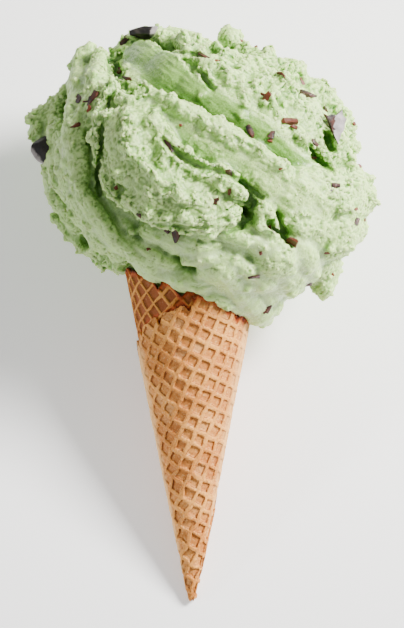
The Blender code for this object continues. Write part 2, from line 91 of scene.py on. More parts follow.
class Wire:
    """A socket in a node tree. Arithmetic on it adds Math nodes."""

    def __init__(self, tree, socket=None):
        self.tree = tree
        self.socket = socket

    def node(self, kind, settings=None, sockets=None, output=0):
        """Adds a node of any kind: first its settings, then its sockets' values or links."""
        made = self.tree.nodes.new(kind)
        for name, value in (settings or {}).items():
            if name == "stops":
                stops = made.color_ramp.elements
                while len(stops) < len(value):
                    stops.new(0.5)
                for stop, (place, colour) in zip(stops, value):
                    stop.position = place
                    stop.color = (*colour, 1)
            else:
                setattr(made, name, value)
        for name, value in (sockets or {}).items():
            if isinstance(value, Wire):
                self.tree.links.new(value.socket, made.inputs[name])
            else:
                made.inputs[name].default_value = value
        return Wire(self.tree, made.outputs[output] if len(made.outputs) else None)

    def maths(self, operation, *others):
        return self.node("ShaderNodeMath", {"operation": operation}, dict(enumerate((self, *others))))

    def __add__(self, other):
        return self.maths("ADD", other)

    def __sub__(self, other):
        return self.maths("SUBTRACT", other)

    def __rsub__(self, other):
        return self.node("ShaderNodeMath", {"operation": "SUBTRACT"}, {0: other, 1: self})

    def __mul__(self, other):
        return self.maths("MULTIPLY", other)

    def __truediv__(self, other):
        return self.maths("DIVIDE", other)

    __radd__ = __add__
    __rmul__ = __mul__

    def step(self, low, high, first=0.0, last=1.0):
        """Rises smoothly from first to last while the value goes from low to high."""
        values = {"Value": self, "From Min": low, "From Max": high, "To Min": first, "To Max": last}
        return self.node("ShaderNodeMapRange", {"interpolation_type": "SMOOTHSTEP"}, values)

    def mix(self, first, last):
        """Mixes two colours by this value."""
        return self.node("ShaderNodeMix", {"data_type": "RGBA"}, {0: self, 6: first, 7: last}, 2)


def srgb(red, green, blue):
    """A colour as seen in the picture, in the linear values that a shader takes."""
    return tuple(((c / 255 + 0.055) / 1.055) ** 2.4 if c > 10 else c / 3295 for c in (red, green, blue))


def rgba(red, green, blue):
    return (*srgb(red, green, blue), 1)


def new_finish(name):
    """An empty material, its starting wire and its Principled shader."""
    finish = bpy.data.materials.new(name)
    finish.use_nodes = True
    return finish, Wire(finish.node_tree), finish.node_tree.nodes["Principled BSDF"]


def link_object(name, mesh, finish=None):
    piece = bpy.data.objects.new(name, mesh)
    bpy.context.scene.collection.objects.link(piece)
    if finish:
        mesh.materials.clear()
        mesh.materials.append(finish)
    return piece


def settle(piece):
    """Turns the modifiers into plain mesh and drops them."""
    graph = bpy.context.evaluated_depsgraph_get()
    mesh = bpy.data.meshes.new_from_object(piece.evaluated_get(graph))
    piece.modifiers.clear()
    piece.data = mesh


def cone_radius(y):
    return tip_radius + flare * y


def around(turn, radius, y):
    """A point of the wafer. Turn 0 faces the shown side and a quarter turn faces +X."""
    return (radius * math.sin(turn), y, radius * math.cos(turn))


def flat_place(turn, y):
    """Where this point of the roll lay on the flat disc, along the baked grid, in cells."""
    rho = (y - apex) / math.cos(half_angle)
    angle = turn * math.sin(half_angle)
    x, up = rho * math.sin(angle), rho * math.cos(angle)
    p = x * math.cos(grid_angle) + up * math.sin(grid_angle)
    q = -x * math.sin(grid_angle) + up * math.cos(grid_angle)
    return p / cell, q / cell


def ragged(count, size):
    """How far a baked edge is broken back. It stands up on each rib that it crosses."""
    bay = math.sin(math.pi * count) ** 2
    number = math.floor(count)
    uneven = max(0.1, 0.7 + 1.3 * noise.noise(Vector((number * 3.7, 1.5, 0.3))))
    fine = noise.noise(Vector((count * 4.6, 4.2, 0.7))) + 0.6 * noise.noise(Vector((count * 13, 1.1, 0.4)))
    wave = 0.4 * noise.noise(Vector((count * 0.6, 7.5, 2.2)))
    return -size * (uneven * max(0.0, 2.6 * bay - 1.2) + wave + 0.2 * fine)


def mouth_y(turn):
    height = mouth_height - mouth_slant * math.sin(turn)
    return height + ragged(flat_place(turn, height)[0], (2.4 if turn > math.pi else 1.2) * mm)


def free_edge_y(turn):
    leaning = edge_start + abs(turn) * math.sin(half_angle)
    height = disc * math.cos(leaning) * math.cos(half_angle) + apex
    return height + ragged(flat_place(turn, height)[1] + 0.35, 2.7 * mm)


def sheet_radius(turn, y):
    step = sheet * min(1.0, max(y - 12 * mm, 0.0) / (55 * mm))
    return cone_radius(y) - step * turn / math.tau


def roll_sheet(name, first_turn, last_turn, low_y, high_y, inner_depth):
    """Rolls up one stretch of the sheet: its outer skin, its edge and a lip of its inside."""
    columns = round((last_turn - first_turn) / math.tau * 340)
    rise = 0.4 * mm
    rows = int(126 * mm / rise)
    points = []
    places = []
    skin = []
    toast = []
    faces = []
    grid = {}

    def point(i, j):
        if (i, j) not in grid:
            turn = first_turn + (last_turn - first_turn) * i / columns
            low, high = low_y(turn), high_y(turn)
            y = min(max(j * rise, low), high) if j <= rows else high
            if j == rows + 3:
                y = max(y - 6 * mm, min(y, 1 * mm))
            radius = sheet_radius(turn, y)
            if j > rows:
                radius -= inner_depth * (0.35, 1.0, 1.0)[j - rows - 1]
            blunt = 0.6 * mm * max(0.0, 1 - y / (1.2 * mm)) ** 2
            grid[i, j] = len(points)
            points.append(around(turn, max(radius - blunt, 0.25 * mm), y))
            p, q = flat_place(turn, y)
            places.append((p, q, turn))
            skin.append(1.0 if j <= rows and high - y > 0.3 * mm else 0.0)
            # It is browned at the mouth. On the inner turn just above the free edge the same mark is painted
            # shade, where the free edge shades the turn beneath.
            browned_and_shaded = max(0.0, 1 - (mouth_y(turn) - y) / (5 * mm))
            if turn > math.pi:
                above_edge = y - free_edge_y(turn - math.tau)
                browned_and_shaded = max(browned_and_shaded, 1 - above_edge / (4.5 * mm)) if above_edge > -1 * mm else browned_and_shaded
            toast.append(browned_and_shaded)
        return grid[i, j]

    for i in range(columns):
        turns = (first_turn + (last_turn - first_turn) * k / columns for k in (i, i + 1))
        bounds = [(low_y(t), high_y(t)) for t in turns]
        for j in range(rows):
            if (j + 1) * rise <= min(b[0] for b in bounds) or j * rise >= max(b[1] for b in bounds):
                continue
            faces.append((point(i, j), point(i + 1, j), point(i + 1, j + 1), point(i, j + 1)))
        last = rows
        for j in (rows + 1, rows + 2, rows + 3):
            faces.append((point(i, last), point(i + 1, last), point(i + 1, j), point(i, j)))
            last = j
    mesh = bpy.data.meshes.new(name)
    mesh.from_pydata(points, [], faces)
    inner_turn = [1.0 if place[2] > math.pi else 0.0 for place in places]
    for label, kind, values in (
        ("inner_turn", "FLOAT", inner_turn),
        ("baked_grid", "FLOAT_VECTOR", places),
        ("skin", "FLOAT", skin),
        ("toast", "FLOAT", toast),
    ):
        layer = mesh.attributes.new(label, kind, "POINT")
        layer.data.foreach_set("vector" if kind == "FLOAT_VECTOR" else "value", np.array(values).ravel())
    bm = bmesh.new()
    bm.from_mesh(mesh)
    bmesh.ops.remove_doubles(bm, verts=bm.verts, dist=0.01 * mm)
    bmesh.ops.dissolve_degenerate(bm, edges=bm.edges, dist=0.005 * mm)
    bm.to_mesh(mesh)
    bm.free()
    mesh.shade_smooth()
    return mesh


def grid_press():
    """The baking plates as Geometry Nodes: they press square cells into the sheet."""
    tree = bpy.data.node_groups.new("grid_press", "GeometryNodeTree")
    for label, kind, value in (
        ("Geometry", "NodeSocketGeometry", None),
        ("Rib share", "NodeSocketFloat", 0.42),
        ("Depth", "NodeSocketFloat", 0.85 * mm),
        ("Grain", "NodeSocketFloat", 0.1 * mm),
        ("Finish", "NodeSocketMaterial", None),
    ):
        socket = tree.interface.new_socket(label, in_out="INPUT", socket_type=kind)
        if value is not None:
            socket.default_value = value
    tree.interface.new_socket("Geometry", in_out="OUTPUT", socket_type="NodeSocketGeometry")
    start = Wire(tree)
    given = tree.nodes.new("NodeGroupInput")
    inputs = {socket.name: Wire(tree, socket) for socket in given.outputs}

    def stored(label, kind="FLOAT"):
        return start.node("GeometryNodeInputNamedAttribute", {"data_type": kind}, {"Name": label})

    place = stored("baked_grid", "FLOAT_VECTOR")
    position = start.node("GeometryNodeInputPosition")
    # The batter isn't quite even, so the grid wanders a little.
    drift = start.node(
        "ShaderNodeTexNoise", None, {"Vector": position, "Scale": 140.0, "Detail": 1.0}, "Color"
    )
    drift = start.node("ShaderNodeVectorMath", {"operation": "SUBTRACT"}, {0: drift, 1: (0.5, 0.5, 0.5)})
    apart = start.node("ShaderNodeSeparateXYZ", None, {0: position})
    height_on_cone = Wire(tree, apart.socket.node.outputs[1])
    swerve = height_on_cone.step(10 * mm, 75 * mm, 0.8, 0.28)
    drift = start.node("ShaderNodeVectorMath", {"operation": "SCALE"}, {0: drift, "Scale": swerve})
    wandered = start.node("ShaderNodeVectorMath", {"operation": "ADD"}, {0: place, 1: drift})
    across = start.node("ShaderNodeSeparateXYZ", None, {0: wandered})
    p = across
    q = Wire(tree, across.socket.node.outputs[1])
    from_line = []
    for way in (p, q):
        from_line.append(0.5 - (way.maths("FRACT") - 0.5).maths("ABSOLUTE"))
    nearest = from_line[0].maths("MINIMUM", from_line[1])
    thick = start.node("ShaderNodeTexNoise", None, {"Vector": position, "Scale": 210.0, "Detail": 1.0})
    half_rib = inputs["Rib share"] * thick.step(0.3, 0.7, 0.4, 0.62)
    # Rolling flattened the grid on both flanks.
    turn = Wire(tree, start.node("ShaderNodeSeparateXYZ", None, {0: place}).socket.node.outputs[2])
    flank = turn.step(-1.5, -0.75, 0.35, 1.0) * turn.step(0.6, 1.3, 1.0, 0.55)
    flank = flank.maths("MAXIMUM", turn.step(-1.85, -1.45, 1.0, 0.0))
    flank = flank.maths("MAXIMUM", turn.step(1.6, 2.3, 0.0, 1.0))
    wall = p.node(
        "ShaderNodeMapRange",
        {"interpolation_type": "SMOOTHSTEP"},
        {"Value": nearest, "From Min": half_rib - 0.02, "From Max": half_rib + 0.05},
    )
    dome = nearest * nearest * 1.6
    crown = (nearest - half_rib).maths("MAXIMUM", 0.0) * 0.35
    fold = (nearest - half_rib * 0.5).maths("ABSOLUTE").step(0.0, 0.035, -0.22, 0.0)
    skin = stored("skin")
    grain = start.node("ShaderNodeTexNoise", None, {"Vector": position, "Scale": 900.0, "Detail": 2.0})
    ripple = start.node("ShaderNodeTexNoise", None, {"Vector": position, "Scale": 260.0, "Detail": 2.0})
    height = (crown - dome * (1 - wall) - wall + fold * ripple.step(0.42, 0.58)) * inputs["Depth"] * flank
    rough = flank.step(0.4, 1.0, 2.2, 1.0)
    height = height + (grain - 0.5 + (ripple - 0.5) * 1.5) * inputs["Grain"] * rough * 2
    normal = start.node("GeometryNodeInputNormal")
    offset = start.node("ShaderNodeVectorMath", {"operation": "SCALE"}, {0: normal, "Scale": height * skin})
    pressed = start.node(
        "GeometryNodeStoreNamedAttribute",
        {"data_type": "FLOAT", "domain": "POINT"},
        {"Geometry": inputs["Geometry"], "Name": "pressed", "Value": wall * skin},
    )
    pressed = start.node(
        "GeometryNodeStoreNamedAttribute",
        {"data_type": "FLOAT", "domain": "POINT"},
        {"Geometry": pressed, "Name": "from_rib", "Value": nearest - half_rib},
    )
    pressed = start.node(
        "GeometryNodeStoreNamedAttribute",
        {"data_type": "FLOAT", "domain": "POINT"},
        {"Geometry": pressed, "Name": "flattened", "Value": (1 - flank) * skin},
    )
    moved = start.node("GeometryNodeSetPosition", None, {"Geometry": pressed, "Offset": offset})
    realized = start.node("GeometryNodeRealizeInstances", None, {0: moved})
    dressed = start.node(
        "GeometryNodeSetMaterial", None, {"Geometry": realized, "Material": inputs["Finish"]}
    )
    out = tree.nodes.new("NodeGroupOutput")
    tree.links.new(dressed.socket, out.inputs[0])
    return tree


def give_inputs(modifier, values):
    """Sets a Geometry Nodes modifier's inputs, which it keeps under the sockets' identifiers."""
    for socket in modifier.node_group.interface.items_tree:
        if socket.in_out == "INPUT" and socket.name in values:
            modifier[socket.identifier] = values[socket.name]


wafer_finish, w, shader = new_finish("baked_wafer")
place = w.node("ShaderNodeTexCoord", output="Object")
pressed = w.node("ShaderNodeAttribute", {"attribute_name": "pressed"}, output="Fac")
toasted_and_shaded = w.node("ShaderNodeAttribute", {"attribute_name": "toast"}, output="Fac")
from_rib = w.node("ShaderNodeAttribute", {"attribute_name": "from_rib"}, output="Fac")
sandy = w.node("ShaderNodeAttribute", {"attribute_name": "flattened"}, output="Fac").step(0.2, 0.75)
deep = w.node("ShaderNodeAttribute", {"attribute_name": "inner_turn"}, output="Fac")
blotches = w.node("ShaderNodeTexNoise", None, {"Vector": place, "Scale": 90.0, "Detail": 3.0})
speckle = w.node(
    "ShaderNodeTexNoise",
    None,
    {"Vector": place, "Scale": 1100.0, "Detail": 3.0, "Roughness": 0.7},
)
wobble = w.node("ShaderNodeTexNoise", None, {"Vector": place, "Scale": 420.0, "Detail": 2.0})
cell_edge = from_rib + (wobble - 0.5) * 0.1
crust = (blotches - 0.5).step(-0.18, 0.18).mix(rgba(226, 156, 74), rgba(203, 129, 52))
in_grid = w.node("ShaderNodeAttribute", {"attribute_name": "baked_grid"}, output="Vector")
in_cell = w.node("ShaderNodeVectorMath", {"operation": "FLOOR"}, {0: in_grid})
of_cell = w.node("ShaderNodeTexWhiteNoise", {"noise_dimensions": "2D"}, {"Vector": in_cell}, "Value")
in_recess = cell_edge.step(-0.01, 0.03) * (1 - sandy)
crust = (in_recess * (0.2 + of_cell * 0.5)).mix(crust, rgba(168, 100, 46))
crust = (in_recess * of_cell.step(0.3, 0.0) * 0.25 * (1 - deep)).mix(crust, rgba(216, 172, 124))
crust = (pressed * deep * 0.92).mix(crust, rgba(142, 74, 34))
# Painted shade: a thin dark line round each recess, where the rib wall drops into it.
recess_edge_shade = (1 - (cell_edge - 0.015).maths("ABSOLUTE").step(0.01, 0.05)) * wobble.step(0.3, 0.62, 0.2, 1.0)
crust = (recess_edge_shade * (1 - sandy) * (0.75 - deep * 0.2)).mix(crust, rgba(112, 52, 18))
# Painted shade in the crease along the middle of some ribs.
rib_crease_shade = (1 - (from_rib + 0.09).maths("ABSOLUTE").step(0.008, 0.03)) * blotches.step(0.42, 0.58)
crust = (rib_crease_shade * (1 - sandy) * 0.4).mix(crust, rgba(160, 94, 44))
crust = speckle.step(0.54, 0.7, 0.0, 0.8).mix(crust, rgba(150, 84, 36))
crust = (speckle.step(0.46, 0.3, 0.0, 0.5) * (1 - deep * 0.8)).mix(crust, rgba(240, 198, 134))
# The flattened flanks are sandy and paler; part of the paleness is painted light that brightens the flanks.
crust = (sandy * (0.5 + speckle * 0.8)).mix(crust, rgba(242, 198, 136))
# The toast mark browns the mouth, and is painted shade on the inner turn under the free edge.
toasted_and_shaded = toasted_and_shaded + (blotches - 0.5) * 1.2
crust = toasted_and_shaded.step(0.45, 0.85).mix(crust, rgba(184, 84, 34))
crust = (toasted_and_shaded + (speckle - 0.5) * 0.8).step(0.75, 1.05).mix(crust, rgba(112, 44, 18))
w.tree.links.new(crust.socket, shader.inputs["Base Color"])
rough = speckle.step(0.3, 0.7, 0.62, 0.85)
w.tree.links.new(rough.socket, shader.inputs["Roughness"])
pores = w.node("ShaderNodeTexVoronoi", None, {"Vector": place, "Scale": 1300.0})
relief = speckle * 0.6 + pores * 0.5
bump = w.node("ShaderNodeBump", None, {"Height": relief, "Distance": 0.35 * mm, "Strength": 0.65})
press_mark = (1 - cell_edge.step(-0.02, 0.03)) * (1 - sandy)
bump = w.node(
    "ShaderNodeBump",
    None,
    {"Height": press_mark, "Distance": 0.5 * mm, "Strength": 0.5, "Normal": bump},
)
w.tree.links.new(bump.socket, shader.inputs["Normal"])
shader.inputs["Specular IOR Level"].default_value = 0.3

press = grid_press()
half_turn = math.pi
for name, first, last, rib in (
    ("wafer_outer_turn", -0.95 * math.tau, half_turn, 0.3),
    ("wafer_inner_turn", half_turn, math.tau + 0.12, 0.22),
):

    def low_y(turn):
        return 0.0 if turn <= 0 else free_edge_y(turn - math.tau) - 2.5 * mm

    def high_y(turn):
        return min(free_edge_y(turn), mouth_y(turn)) if turn < 0 else mouth_y(turn)

    turn_of_sheet = link_object(name, roll_sheet(name, first, last, low_y, high_y, 1.3 * mm), wafer_finish)
    pressing = turn_of_sheet.modifiers.new("Press", "NODES")
    pressing.node_group = press
    give_inputs(pressing, {"Rib share": rib, "Depth": 0.9 * mm, "Grain": 0.08 * mm, "Finish": wafer_finish})
    settle(turn_of_sheet)
    turn_of_sheet.data.transform(lying)
    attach(turn_of_sheet, "root")
    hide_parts("wafer_cone")


# The heap of ice cream.
# Churned ice cream is pressed on with a spatula, so the heap is a pile of broad strokes that
# overlap like shingles. It is full of fine air bubbles and its free edges break off crumbly.

heap_radii = Vector((55, 45, 42)) * mm
heap_turn = math.radians(-22)
heap_power = 2.2
unevenness = 0.3
skin_size = 0.55 * mm
back_from = math.radians(98)
back_to = math.radians(250)

# Each stroke's path as (x, y) in mm seen from the shown side, its half width, its half
# thickness, how far its left edge tilts up in degrees, how far it stands off the core in mm,
# and how crumbly it is.
strokes = (
    (((-48, 186), (-50, 177), (-46, 163), (-43, 150), (-37, 138), (-28, 129)), 8, 5, 15, 0, 0.55),
    (((-48, 184), (-53, 178.5), (-56, 174)), 4.5, 5, 0, 0, 0.6),
    (((-36, 202), (-39, 193), (-42, 180), (-42, 165), (-38, 150), (-28, 136), (-15, 126)), 6, 4, 35, 2, 0.35),
    (((-39, 201), (-39, 194), (-40, 186)), 6, 5, 0, 2, 0.3),
    (((-33, 200), (-34, 192), (-35, 184), (-35, 176)), 4.5, 4, 10, 2, 0.5),
    (((-33, 201), (-28, 200), (-28, 195), (-29, 189)), 4.5, 4, 0, -4, 0.9),
    (((-33, 203), (-27, 204), (-20, 205)), 5, 5, 0, -7, 0.5),
    (((-54, 177), (-57, 173), (-56, 168)), 4, 4, 0, 0, 0.5),
    (((-39, 184), (-40, 174), (-40, 162), (-39, 150), (-34, 139)), 5, 4, 0, 2.5, 0.4),
    (((-51, 162), (-50, 154), (-46, 144), (-40, 134)), 5, 5, 0, 0, 0.4),
    (((-35, 197), (-37, 182), (-38, 166), (-36, 152), (-29, 140), (-16, 130)), 5, 3, 20, -3, 0.2),
    (((-22, 182), (-20, 171), (-16, 161), (-7, 152), (6, 147)), 12, 7, -5, 4, 0.7),
    (((-29, 187), (-30, 178), (-30, 166), (-28, 156), (-22, 148)), 5, 5, 0, 3, 0.8),
    (((-20, 149), (-12, 144), (-2, 142), (9, 142), (15, 144)), 5, 5, 0, 5, 0.7),
    (((-13, 178), (-11, 172), (-6, 165), (3, 159), (12, 156), (17, 151)), 5, 4, 30, 6, 0.7),
    (((-31, 186), (-25, 188), (-20, 186)), 4, 4, 0, 5, 0.9),
    (((-20, 176), (-18, 165), (-11, 155), (0, 149)), 4, 4, 0, 9, 0.7),
    (((-16, 182), (-5, 177), (6, 170), (17, 164), (28, 156), (38, 148), (48, 139)), 9, 4, 16, 2.5, 0.3),
    (((-18, 187), (-7, 181), (4, 175), (14, 170), (24, 164), (34, 157), (44, 149)), 3.5, 3.5, 0, 5.5, 0.4),
    (((-20, 202), (-11, 196), (-1, 189), (9, 182), (20, 175), (30, 168), (40, 159)), 11, 4, 36, -1, 0.0),
    (((-6, 204), (2, 197), (12, 190), (22, 184), (32, 176), (41, 167)), 4, 4, 0, 4, 0.7),
    (((5, 200), (17, 194), (30, 186), (41, 177), (49, 167), (56, 157)), 9, 6, 10, 2, 1.0),
    (((14, 203), (26, 197), (39, 190), (49, 181), (57, 168)), 6, 6, 0, 1, 1.0),
    (((-27, 203), (-17, 207), (-6, 205), (6, 203)), 6, 5, 10, 0, 0.7),
    (((-20, 207), (-10, 208), (2, 205), (13, 204)), 4, 5, 10, 0, 0.6),
    (((13, 206), (17, 208)), 4, 4, 0, 1, 0.5),
    (((40, 153), (50, 151), (57, 150), (62, 150)), 12, 8, 0, 1, 0.8),
    (((42, 141), (52, 138), (59, 138)), 11, 8, 0, 1, 0.6),
    (((44, 131), (48, 123), (48, 117)), 7.5, 6, 10, 1, 0.5),
    (((37, 133), (40, 127), (42, 121)), 7, 5, 45, 1, 0.12),
    (((24, 136), (31, 127), (37, 119)), 8, 6, 10, 1, 0.3),
    (((26, 147), (26, 142), (28, 137)), 4, 4, 0, 3, 0.5),
    (((34, 146), (38, 141), (42, 136)), 5, 5, 0, 1.5, 0.5),
    (((-14, 136), (0, 133), (14, 132), (27, 128)), 8, 6, 0, -2, 0.12),
    (((-20, 128), (-11, 122), (0, 119), (9, 117)), 6, 5, 10, 0, 0.12),
    (((4, 130), (12, 122), (19, 113), (26, 105)), 8, 6, 10, 0, 0.12),
    (((20, 126), (28, 119), (37, 114)), 8, 6, 0, -2, 0.12),
    (((25, 119), (28.5, 113), (28.5, 108)), 5, 5, 0, 0, 0.12),
    (((-36, 140), (-26, 133), (-16, 128), (-6, 123)), 6, 4, 15, 0, 0.25),
    (((-36, 129), (-31, 127), (-26, 125)), 4, 4, 0, 0, 0.8),
    (((-47, 180), (-50, 171), (-49, 160), (-46, 150)), 4, 3, 0, 1, 0.5),
    (((-12, 170), (-6, 165), (2, 161), (10, 158), (18, 153)), 3, 4, 20, 0, 0.0),
    (((-55, 177), (-56, 170), (-53, 162)), 4.5, 5, 0, -4, 0.4),
    (((-2, 127), (6, 129), (15, 128), (22, 123)), 3, 3, 25, 3, 0.12),
    (((12, 136), (20, 135), (27, 132), (33, 126)), 3.5, 3, 20, 3, 0.12),
    (((30, 125), (36, 121), (39, 117)), 4, 4, 0, 1, 0.12),
)

# Creases and pits between the strokes: path in mm, half width in mm and depth in mm.
grooves = (
    (((-33, 179), (-34, 168), (-35, 158), (-34, 150)), 1.3, 5),
    (((-11.5, 172.5), (-9, 169), (-5, 165.5), (3, 161), (12, 158.5), (20, 154), (26, 149)), 1.6, 3),
    (((-28, 200), (-27.5, 195), (-24, 191), (-18, 189.5)), 3.6, 7),
    (((-27, 197), (-25.5, 193), (-22, 190.5)), 3.4, 11),
    (((-14, 205), (-5, 203.5), (4, 202)), 1.1, 3),
    (((-12, 171), (-15, 165), (-16, 158)), 1.2, 1.5),
    (((2, 133.5), (5, 132), (9, 132.5)), 1.1, 1.4),
    (((-29, 194), (-30, 188), (-31, 184)), 1.3, 4),
    (((-33, 182), (-31, 184), (-28, 183)), 1.2, 3),
    (((-4, 202), (-1, 199), (0, 196.5)), 1.8, 3.5),
    (((2, 197), (5, 194), (7, 190)), 1.6, 3.5),
    (((50, 173), (51, 170), (52, 167)), 2.2, 6),
    (((44, 168), (47, 163), (52, 160)), 1.1, 3),
    (((19, 145), (20.5, 142.5)), 1.2, 6),
    (((28.5, 140.5), (31, 137.5), (34.5, 134), (37.5, 131)), 1.1, 6),
    (((-14, 139), (-4, 138), (8, 138)), 1.2, 2.5),
)


def smooth_path(points, count):
    """Points evenly spaced in parameter on a Catmull-Rom curve through the given ones."""
    points = [Vector(p) for p in points]
    ends = [2 * points[0] - points[1], *points, 2 * points[-1] - points[-2]]
    path = []
    for k in range(count):
        place = k / (count - 1) * (len(points) - 1)
        i = min(int(place), len(points) - 2)
        t = place - i
        a, b, c, d = ends[i : i + 4]
        square = (2 * a - 5 * b + 4 * c - d) * t**2
        cube = (3 * b - a - 3 * c + d) * t**3
        path.append(0.5 * (2 * b + (c - a) * t + square + cube))
    return path


def core_surface(direction):
    """The point of the core in this direction from its centre, and the normal there."""
    turn = Matrix.Rotation(heap_turn, 3, "Z")
    local = turn.inverted() @ Vector(direction)
    scaled = [abs(d) / r for d, r in zip(local, heap_radii)]
    reach = sum(s**heap_power for s in scaled) ** (-1 / heap_power)
    offset = local * reach
    slope = [math.copysign(abs(o / r) ** (heap_power - 1) / r, o) for o, r in zip(offset, heap_radii)]
    return heap_centre + turn @ offset, (turn @ Vector(slope)).normalized()


# The eye is this far in front of the cone, so what stands out shows a little further out.
eye = Vector((3.7, 106.2, 968)) * mm


def seen_from_front(x, y):
    """The point of the core that the eye sees here, or beyond its outline the nearest."""
    flat = Vector((x * mm, y * mm, 0)) - heap_centre
    local = Matrix.Rotation(-heap_turn, 3, "Z") @ flat
    share = sum(abs(o / r) ** heap_power for o, r in zip(local.xy, heap_radii.xy))
    depth = heap_radii.z * max(0.0, 1 - share) ** (1 / heap_power)
    _, normal = core_surface(flat + Vector((0, 0, max(depth, 4 * mm))))
    return Vector((x * mm, y * mm, 0)).lerp(eye, depth / eye.z), normal


def seen_from_behind(longitude, latitude):
    flat = math.cos(latitude)
    direction = Vector((math.sin(longitude) * flat, math.sin(latitude), math.cos(longitude) * flat))
    return core_surface(direction)


class Beads:
    """Many ellipsoids, each a round template squeezed by a matrix, that make up strokes."""

    def __init__(self):
        self.frames = []
        self.marks = []  # for each bead: how far along its stroke, which stroke, how crumbly

    def lay_stroke(self, places, normals, half_width, half_thickness, tilt, lift, crumbly=0.0):
        length = sum((a - b).length for a, b in zip(places, places[1:]))
        count = max(12, round(length / (0.25 * half_width * mm)))
        path = smooth_path(places, count)
        ups = smooth_path(normals, count)
        along = 0.0
        stroke = self.marks[-1][1] + 1 if self.marks else 0
        for k, (place, up) in enumerate(zip(path, ups)):
            girth = 0.6 + 0.4 * (1 - abs(2 * k / (count - 1) - 1) ** 3)
            girth *= 1 + unevenness * noise.noise(place / (7 * mm))
            uneven_lift = lift + 5 * unevenness * noise.noise(place / (9 * mm) + Vector((0, 0, 40)))
            tangent = (path[min(k + 1, count - 1)] - path[max(k - 1, 0)]).normalized()
            up = (up - up.dot(tangent) * tangent).normalized()
            tilted = Matrix.Rotation(math.radians(tilt), 3, tangent)
            frame = Matrix((tangent, tilted @ up.cross(tangent), tilted @ up)).transposed().to_4x4()
            size = Vector((0.8 * half_width, half_width * girth, half_thickness * girth, 1000)) * mm
            along += (place - path[max(k - 1, 0)]).length
            stands = Matrix.Translation(place + up * uneven_lift * mm)
            self.frames.append(stands @ frame @ Matrix.Diagonal(size))
            self.marks.append((along, stroke, crumbly))

    def drop(self, place, radius, rng, mark=(0.0, 0, 0.0)):
        """One loose clump of any turn, a little longer than it is wide."""
        turn = Euler([rng.uniform(0, math.tau) for _ in range(3)]).to_matrix().to_4x4()
        size = [radius * rng.uniform(0.65, 1.35) for _ in range(3)]
        self.frames.append(Matrix.Translation(place) @ turn @ Matrix.Diagonal((*size, 1)))
        self.marks.append(mark)

    def fuse(self, name, size, core=None):
        """Turns the separate beads, and a core if there is one, into one closed skin."""
        template = bmesh.new()
        bmesh.ops.create_icosphere(template, subdivisions=2, radius=1)
        corners = np.array([(*v.co, 1) for v in template.verts])
        sides = np.array([[v.index for v in face.verts] for face in template.faces])
        template.free()
        points = (np.array(self.frames) @ corners.T)[:, :3].transpose(0, 2, 1).reshape(-1, 3)
        faces = (sides + len(corners) * np.arange(len(self.frames))[:, None, None]).reshape(-1, 3)
        mesh = bpy.data.meshes.new(name)
        mesh.from_pydata(points.tolist(), [], faces.tolist())
        if core:
            bm = bmesh.new()
            bm.from_mesh(mesh)
            bm.from_mesh(core)
            bm.to_mesh(mesh)
            bm.free()
        fused = link_object(name, mesh)
        fuse = fused.modifiers.new("Fuse", "REMESH")
        fuse.mode = "VOXEL"
        fuse.voxel_size = size
        soften = fused.modifiers.new("Soften", "SMOOTH")
        soften.factor = 0.5
        soften.iterations = 2
        settle(fused)
        return fused


def cut(piece, cutter, solver="MANIFOLD", operation="DIFFERENCE"):
    knife = piece.modifiers.new("Cut", "BOOLEAN")
    knife.operation = operation
    knife.solver = solver
    knife.object = cutter
    settle(piece)
    bpy.data.objects.remove(cutter)


def keep_largest_shell(piece):
    """Removes closed-in bubbles and anything loose, which the eye can't see."""
    mesh = piece.data
    edges = np.empty(len(mesh.edges) * 2, dtype=np.int64)
    mesh.edges.foreach_get("vertices", edges)
    ends = edges.reshape(-1, 2)
    label = np.arange(len(mesh.vertices))
    while True:
        low = np.minimum(label[ends[:, 0]], label[ends[:, 1]])
        previous = label.copy()
        np.minimum.at(label, ends[:, 0], low)
        np.minimum.at(label, ends[:, 1], low)
        label = label[label]
        if (label == previous).all():
            break
    kept = np.bincount(label).argmax()
    bm = bmesh.new()
    bm.from_mesh(mesh)
    bmesh.ops.delete(bm, geom=[v for v, mark in zip(bm.verts, label) if mark != kept], context="VERTS")
    bm.to_mesh(mesh)
    bm.free()


def read_points(mesh, kind="co"):
    values = np.empty(len(mesh.vertices) * 3)
    source, key = (mesh.vertices, "co") if kind == "co" else (mesh.vertex_normals, "vector")
    source.foreach_get(key, values)
    return values.reshape(-1, 3)


def relax(mesh, values, times):
    """Averages values over neighbouring points, many times over."""
    edges = np.empty(len(mesh.edges) * 2, dtype=np.int64)
    mesh.edges.foreach_get("vertices", edges)
    a, b = edges.reshape(-1, 2).T
    size = len(values)
    near = np.bincount(edges, minlength=size).clip(1)
    for _ in range(times):
        sums = [np.bincount(a, v[b], size) + np.bincount(b, v[a], size) for v in values.T]
        values = 0.5 * values + 0.5 * np.stack(sums, 1) / near[:, None]
    return values


def store(mesh, label, values):
    kind = "FLOAT_VECTOR" if values.ndim == 2 else "FLOAT"
    layer = mesh.attributes.new(label, kind, "POINT")
    layer.data.foreach_set("vector" if values.ndim == 2 else "value", values.astype(np.float32).ravel())


